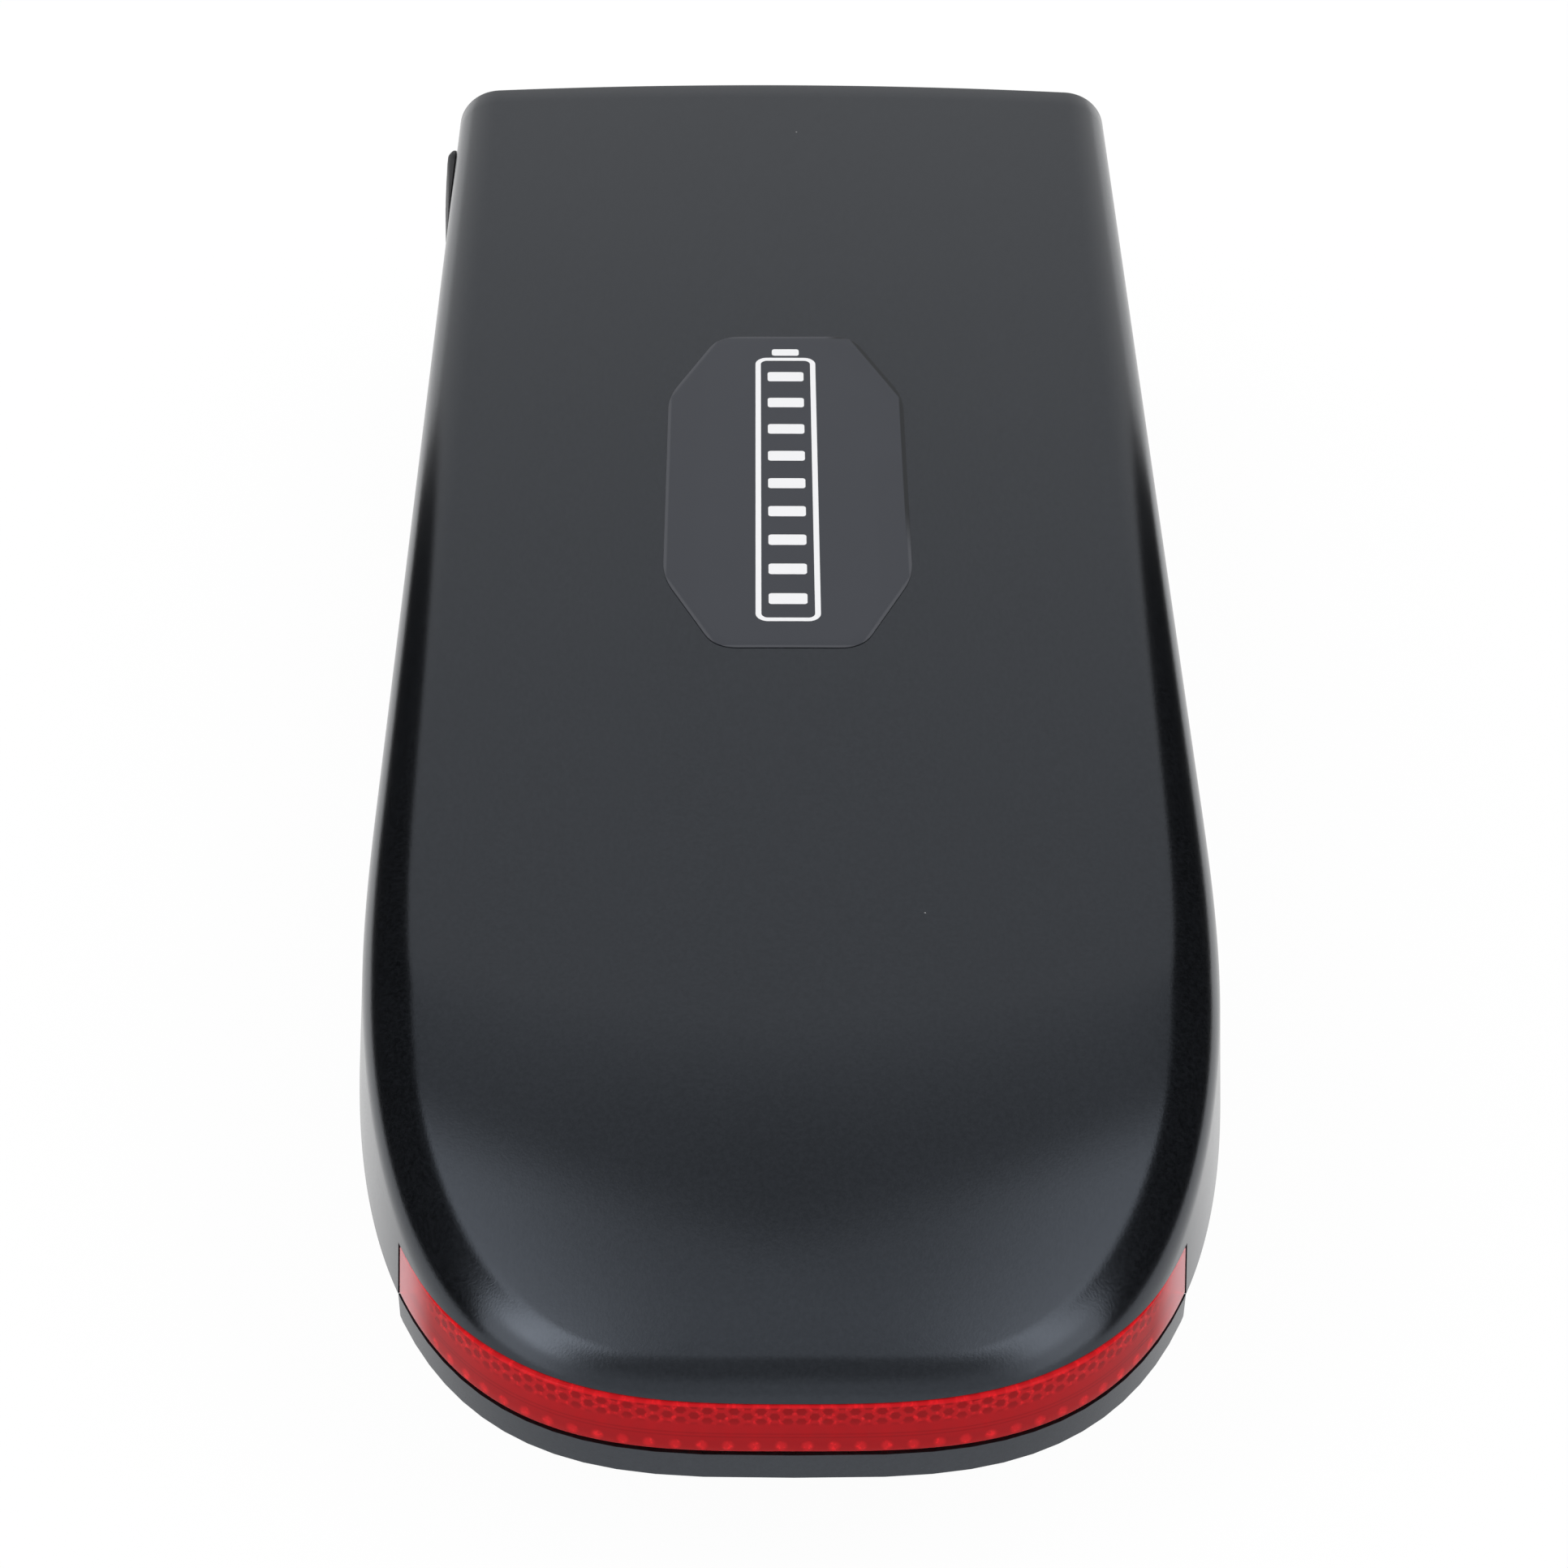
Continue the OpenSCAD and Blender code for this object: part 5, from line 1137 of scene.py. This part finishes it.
class RACK_OT_lock(bpy.types.Operator):
    """The key lock, the bolt that it drives and the bolt's guide"""
    bl_idname = "rack.lock"
    bl_label = "Lock"

    def execute(self, context):
        chrome = metal("Satin chrome", (0.7, 0.7, 0.72), 0.24)
        turned = metal("Turned zinc", (0.62, 0.62, 0.64), 0.3, (1, 0.2, 1))
        steel = metal("Bolt steel", (0.6, 0.6, 0.62), 0.3, (1, 1, 0.08))
        dressed("lock_barrel", "lock_body", "case", chrome, 0.3 * MM)
        dressed("key_rotor", "lock_rotor", "key", turned, 0.2 * MM)
        dressed("lock_bolt", "sliding_bolt", "bolt", steel, 0.3 * MM)
        finish_nodes(
            lock_cam=metal("Cam brass", (0.8, 0.62, 0.3), 0.3),
            lock_nut=metal("Lock nut", (0.58, 0.58, 0.6), 0.35),
            bolt_guide=moulded("Guide plastic", (0.1, 0.1, 0.11), 0.45))
        return {"FINISHED"}


class RACK_OT_gauge(bpy.types.Operator):
    """The power button with its dished face, and the charge gauge's light guides and board"""
    bl_idname = "rack.gauge"
    bl_label = "Charge gauge"

    def execute(self, context):
        button = middle("power_button")
        place = local_frame(1, button.y, PARTING_Z + GAUGE_HEIGHT)
        r, proud, wall, dish, soft = 5 * MM, 0.3 * MM, 2.5 * MM, 0.5 * MM, 0.3 * MM
        dish_r, flange_r, flange_z = r - 1.1 * MM, 6.2 * MM, -wall - 1 * MM
        profile = [(x * dish_r, proud - dish * (1 - x ** 2)) for x in np.linspace(0, 1, 10)]
        profile += [(r - soft + soft * math.sin(a), proud - soft + soft * math.cos(a))
                    for a in np.linspace(0, math.pi / 2, 6)]
        profile += [(r, -wall), (flange_r, -wall - 0.05 * MM), (flange_r, flange_z), (0, flange_z)]
        points, faces = lathe(profile)
        piece(
            "power_button", "gauge_button", moved(points, place), turned_over(faces),
            moulded("Button plastic", (0.02, 0.02, 0.022), 0.28), "button")
        window = frosted("Light guides", (0.72, 0.78, 0.74))
        dressed("gauge_window", "light_guides", "case", window, 0.15 * MM)
        finish_nodes(
            tact_switch=moulded("Switch plastic", (0.02, 0.02, 0.02), 0.3),
            gauge_board=circuit_board("Gauge board", (0.01, 0.1, 0.04)),
            gauge_leds=frosted("Gauge diodes", (0.8, 0.85, 0.7)),
            gauge_lead=sleeve("Gauge leads", (0.6, 0.6, 0.6)))
        return {"FINISHED"}


class RACK_OT_connector(bpy.types.Operator):
    """The discharge connector in the front face, with its row of plated contacts"""
    bl_idname = "rack.connector"
    bl_label = "Discharge connector"

    def execute(self, context):
        black = moulded("Connector plastic", (0.015, 0.015, 0.016), 0.4, 0.3 * MM, 0.015 * MM)
        dressed("discharge_connector", "rack_connector", "case", black, 0.25 * MM)
        brass = metal("Rack contacts", (0.86, 0.68, 0.32), 0.22, (1, 0.1, 1))
        dressed("discharge_contacts", "rack_contacts", "case", brass, 0.15 * MM)
        finish_nodes(discharge_leads=sleeve("Power leads", (0.35, 0.02, 0.02)))
        return {"FINISHED"}


class RACK_OT_inside(bpy.types.Operator):
    """Finishes of the cell pack and the battery management board"""
    bl_idname = "rack.inside"
    bl_label = "Inside"

    def execute(self, context):
        cells = cell_sleeve("Cell sleeve")
        finish_nodes(**{f"cell_row_{row}": cells for row in range(1, 11)})
        holder = moulded("Holder plastic", (0.03, 0.03, 0.034), 0.45)
        nickel = metal("Nickel strip", (0.72, 0.7, 0.64), 0.28, (0.1, 1, 1))
        finish_nodes(
            lower_cell_holder=holder, upper_cell_holder=holder,
            lower_strips=nickel, upper_strips=nickel,
            insulation_sheets=moulded(
                "Pressed board", (0.1, 0.2, 0.14), 0.7, 1.2 * MM, 0.05 * MM),
            foam_pads=foam("Closed-cell foam"),
            bms_board=circuit_board("Green board", (0.01, 0.11, 0.04)),
            bms_transistors=moulded("Transistor plastic", (0.015, 0.015, 0.015), 0.3),
            bms_heatsink=metal("Extruded aluminium", (0.8, 0.81, 0.82), 0.32, (0.05, 1, 1)),
            bms_parts=moulded("Cream plastic", (0.6, 0.57, 0.48), 0.4),
            pack_leads=sleeve("Pack leads", (0.015, 0.015, 0.015)),
            balance_leads=sleeve("Balance leads", (0.65, 0.42, 0.05)),
            temperature_sensor=sleeve("Sensor lead", (0.015, 0.015, 0.03)),
            fuse_holder=moulded("Fuse holder", (0.02, 0.02, 0.022), 0.35),
            blade_fuse=frosted("Fuse plastic", (0.75, 0.36, 0.02)))
        return {"FINISHED"}


class RACK_OT_stage(bpy.types.Operator):
    """The pale floor, the studio's light, the dark screens at the sides, and the camera"""
    bl_idname = "rack.stage"
    bl_label = "Stage"

    def execute(self, context):
        self.floor(context.scene.rack_studio)
        self.sky(context.scene.rack_studio)
        self.flags()
        self.camera()
        context.scene.view_settings.view_transform = "Standard"
        return {"FINISHED"}

    def screen(self, name, corners, finish):
        """A flat screen or floor of four corners, which is no part of the object"""
        mesh = bpy.data.meshes.new(name)
        mesh.from_pydata(corners, [], [(0, 1, 2, 3)])
        mesh.materials.append(finish)
        made = placed(name, mesh)
        return made

    def floor(self, studio):
        """A pale floor, seen from above only. The camera and reflections see it almost white, and
        the rest of its light is diffuse, which keeps the object's shadow."""
        half, drop, white_share = studio.floor_size / 2, -0.05 * MM, 0.96
        made, graph = material("Pale floor")
        path = graph.node("ShaderNodeLightPath", out="Is Camera Ray")
        outputs = path.socket.node.outputs
        seen = path + Value(graph, outputs["Is Glossy Ray"])
        seen = (seen + Value(graph, outputs["Is Transmission Ray"])).least(1.0)
        pale = graph.node("ShaderNodeBsdfDiffuse", values={"Color": (0.88, 0.88, 0.88, 1)})
        white = graph.node("ShaderNodeEmission", values={"Color": WHITE, "Strength": 1.0})
        top = graph.mixed(seen * white_share, pale, white)
        under = graph.node("ShaderNodeNewGeometry", out="Backfacing")
        graph.finish(graph.mixed(under, top, graph.node("ShaderNodeBsdfTransparent")))
        corners = [(-half, -half), (half, -half), (half, half), (-half, half)]
        self.screen("floor", [(x, y, drop) for x, y in corners], made)

    def sky(self, studio):
        """A studio by direction, in degrees from straight ahead and over the level: grey ahead
        and overhead, a tall bright panel behind each side screen, a row of lamps over each
        screen, and a dim patch behind the camera"""
        world = bpy.data.worlds.new("Studio")
        bpy.context.scene.world = world
        world.use_nodes = True
        graph = Graph(world.node_tree)
        across, along, up = graph.parts(graph.node("ShaderNodeTexCoord", out="Generated"))
        round_z = across.size().math("ARCTAN2", along)
        rise = up.math("ARCSINE")

        def ramp(value, low, high, start=0.0, end=1.0):
            return value.step(math.radians(low), math.radians(high), start, end)

        def fall(value, low, high):
            return ramp(value, low, high, 1.0, 0.0)

        def between(first, second, share):
            return first + (second - first) * share

        ahead = ramp(rise, 46, 80, 0.72, 0.46)
        behind = ramp(rise, 12, 42, 0.85, 0.42) + ramp(rise, 62, 75, 0.0, 0.55)
        light = between(ahead, behind, ramp(round_z, 95, 145))
        row = ramp(rise, 59, 82, studio.row_light, 0.85)
        light = between(light, row, ramp(round_z, 45, 76) * fall(round_z, 128, 148))
        panel = ramp(round_z, 116, 122) * fall(round_z, 132, 141)
        panel = panel * ramp(rise, 14, 30) * fall(rise, 58, 66)
        light = between(light, studio.panel_light - across * 0.8, panel)
        seen = light.most(graph.node("ShaderNodeLightPath", out="Is Camera Ray"))
        glow = graph.node("ShaderNodeBackground", values={"Color": WHITE, "Strength": seen})
        graph.node("ShaderNodeOutputWorld", values={"Surface": glow})

    def flags(self):
        """Two dark screens that stand left and right, so the long rounded edges read"""
        near_x, near_y, far_x, far_y = 0.365, -0.305, 0.215, 0.26
        foot, head = 0.002, 0.49
        made, graph = material("Black flag")
        graph.finish(graph.node("ShaderNodeBsdfDiffuse", values={"Color": (0.01, 0.01, 0.01, 1)}))
        for side, name in ((-1, "left_flag"), (1, "right_flag")):
            near, far = (side * near_x, near_y), (side * far_x, far_y)
            corners = [(*near, foot), (*far, foot), (*far, head), (*near, head)]
            flag = self.screen(name, corners, made)
            flag.visible_camera = False
            flag.visible_diffuse = False
            flag.visible_shadow = False

    def camera(self):
        """A camera at the photograph's place: pitched down, then turned and rolled"""
        data = bpy.data.cameras.new("camera")
        data.sensor_width = SENSOR_WIDTH_MM
        data.lens = SENSOR_WIDTH_MM * FOCAL_PX / PHOTO_WIDTH_PX
        data.clip_start, data.clip_end = 0.01, 100
        level, down = math.cos(CAMERA_PITCH), math.sin(CAMERA_PITCH)
        ahead = Vector((math.sin(CAMERA_YAW) * level, math.cos(CAMERA_YAW) * level, -down))
        right = Vector((math.cos(CAMERA_YAW), -math.sin(CAMERA_YAW), 0))
        up = right.cross(ahead)
        turned_right = right * math.cos(CAMERA_ROLL) + up * math.sin(CAMERA_ROLL)
        turned_up = up * math.cos(CAMERA_ROLL) - right * math.sin(CAMERA_ROLL)
        turn = Matrix((turned_right, turned_up, -ahead)).transposed().to_4x4()
        camera = placed("camera", data)
        camera.matrix_world = Matrix.Translation(CAMERA_PLACE) @ turn
        bpy.context.scene.camera = camera


GROUPS = {"rack_cover": CoverSizes, "rack_finish": Finishes, "rack_studio": StudioSizes}
OPERATORS = (
    RACK_OT_stage, RACK_OT_cover, RACK_OT_lower_case, RACK_OT_tail_lamp, RACK_OT_label,
    RACK_OT_charge_port, RACK_OT_lock, RACK_OT_gauge, RACK_OT_connector, RACK_OT_inside)


class RACK_PT_panel(bpy.types.Panel):
    """Lists the battery's pieces in the sidebar"""
    bl_idname = "RACK_PT_panel"
    bl_label = "Rack Battery"
    bl_space_type = "VIEW_3D"
    bl_region_type = "UI"
    bl_category = "Rack Battery"

    def draw(self, context):
        for kind in OPERATORS:
            self.layout.operator(kind.bl_idname)
        for group_name in GROUPS:
            group = getattr(context.scene, group_name)
            for name in group.bl_rna.properties.keys():
                if name not in ("rna_type", "name"):
                    self.layout.prop(group, name)


def register():
    for kind in (*GROUPS.values(), *OPERATORS, RACK_PT_panel):
        bpy.utils.register_class(kind)
    for name, group in GROUPS.items():
        setattr(bpy.types.Scene, name, bpy.props.PointerProperty(type=group))


def unregister():
    for name in GROUPS:
        delattr(bpy.types.Scene, name)
    for kind in reversed((*GROUPS.values(), *OPERATORS, RACK_PT_panel)):
        bpy.utils.unregister_class(kind)


def main():
    register()
    for kind in OPERATORS:
        group, name = kind.bl_idname.split(".")
        getattr(getattr(bpy.ops, group), name)()


if __name__ == "__main__":
    main()
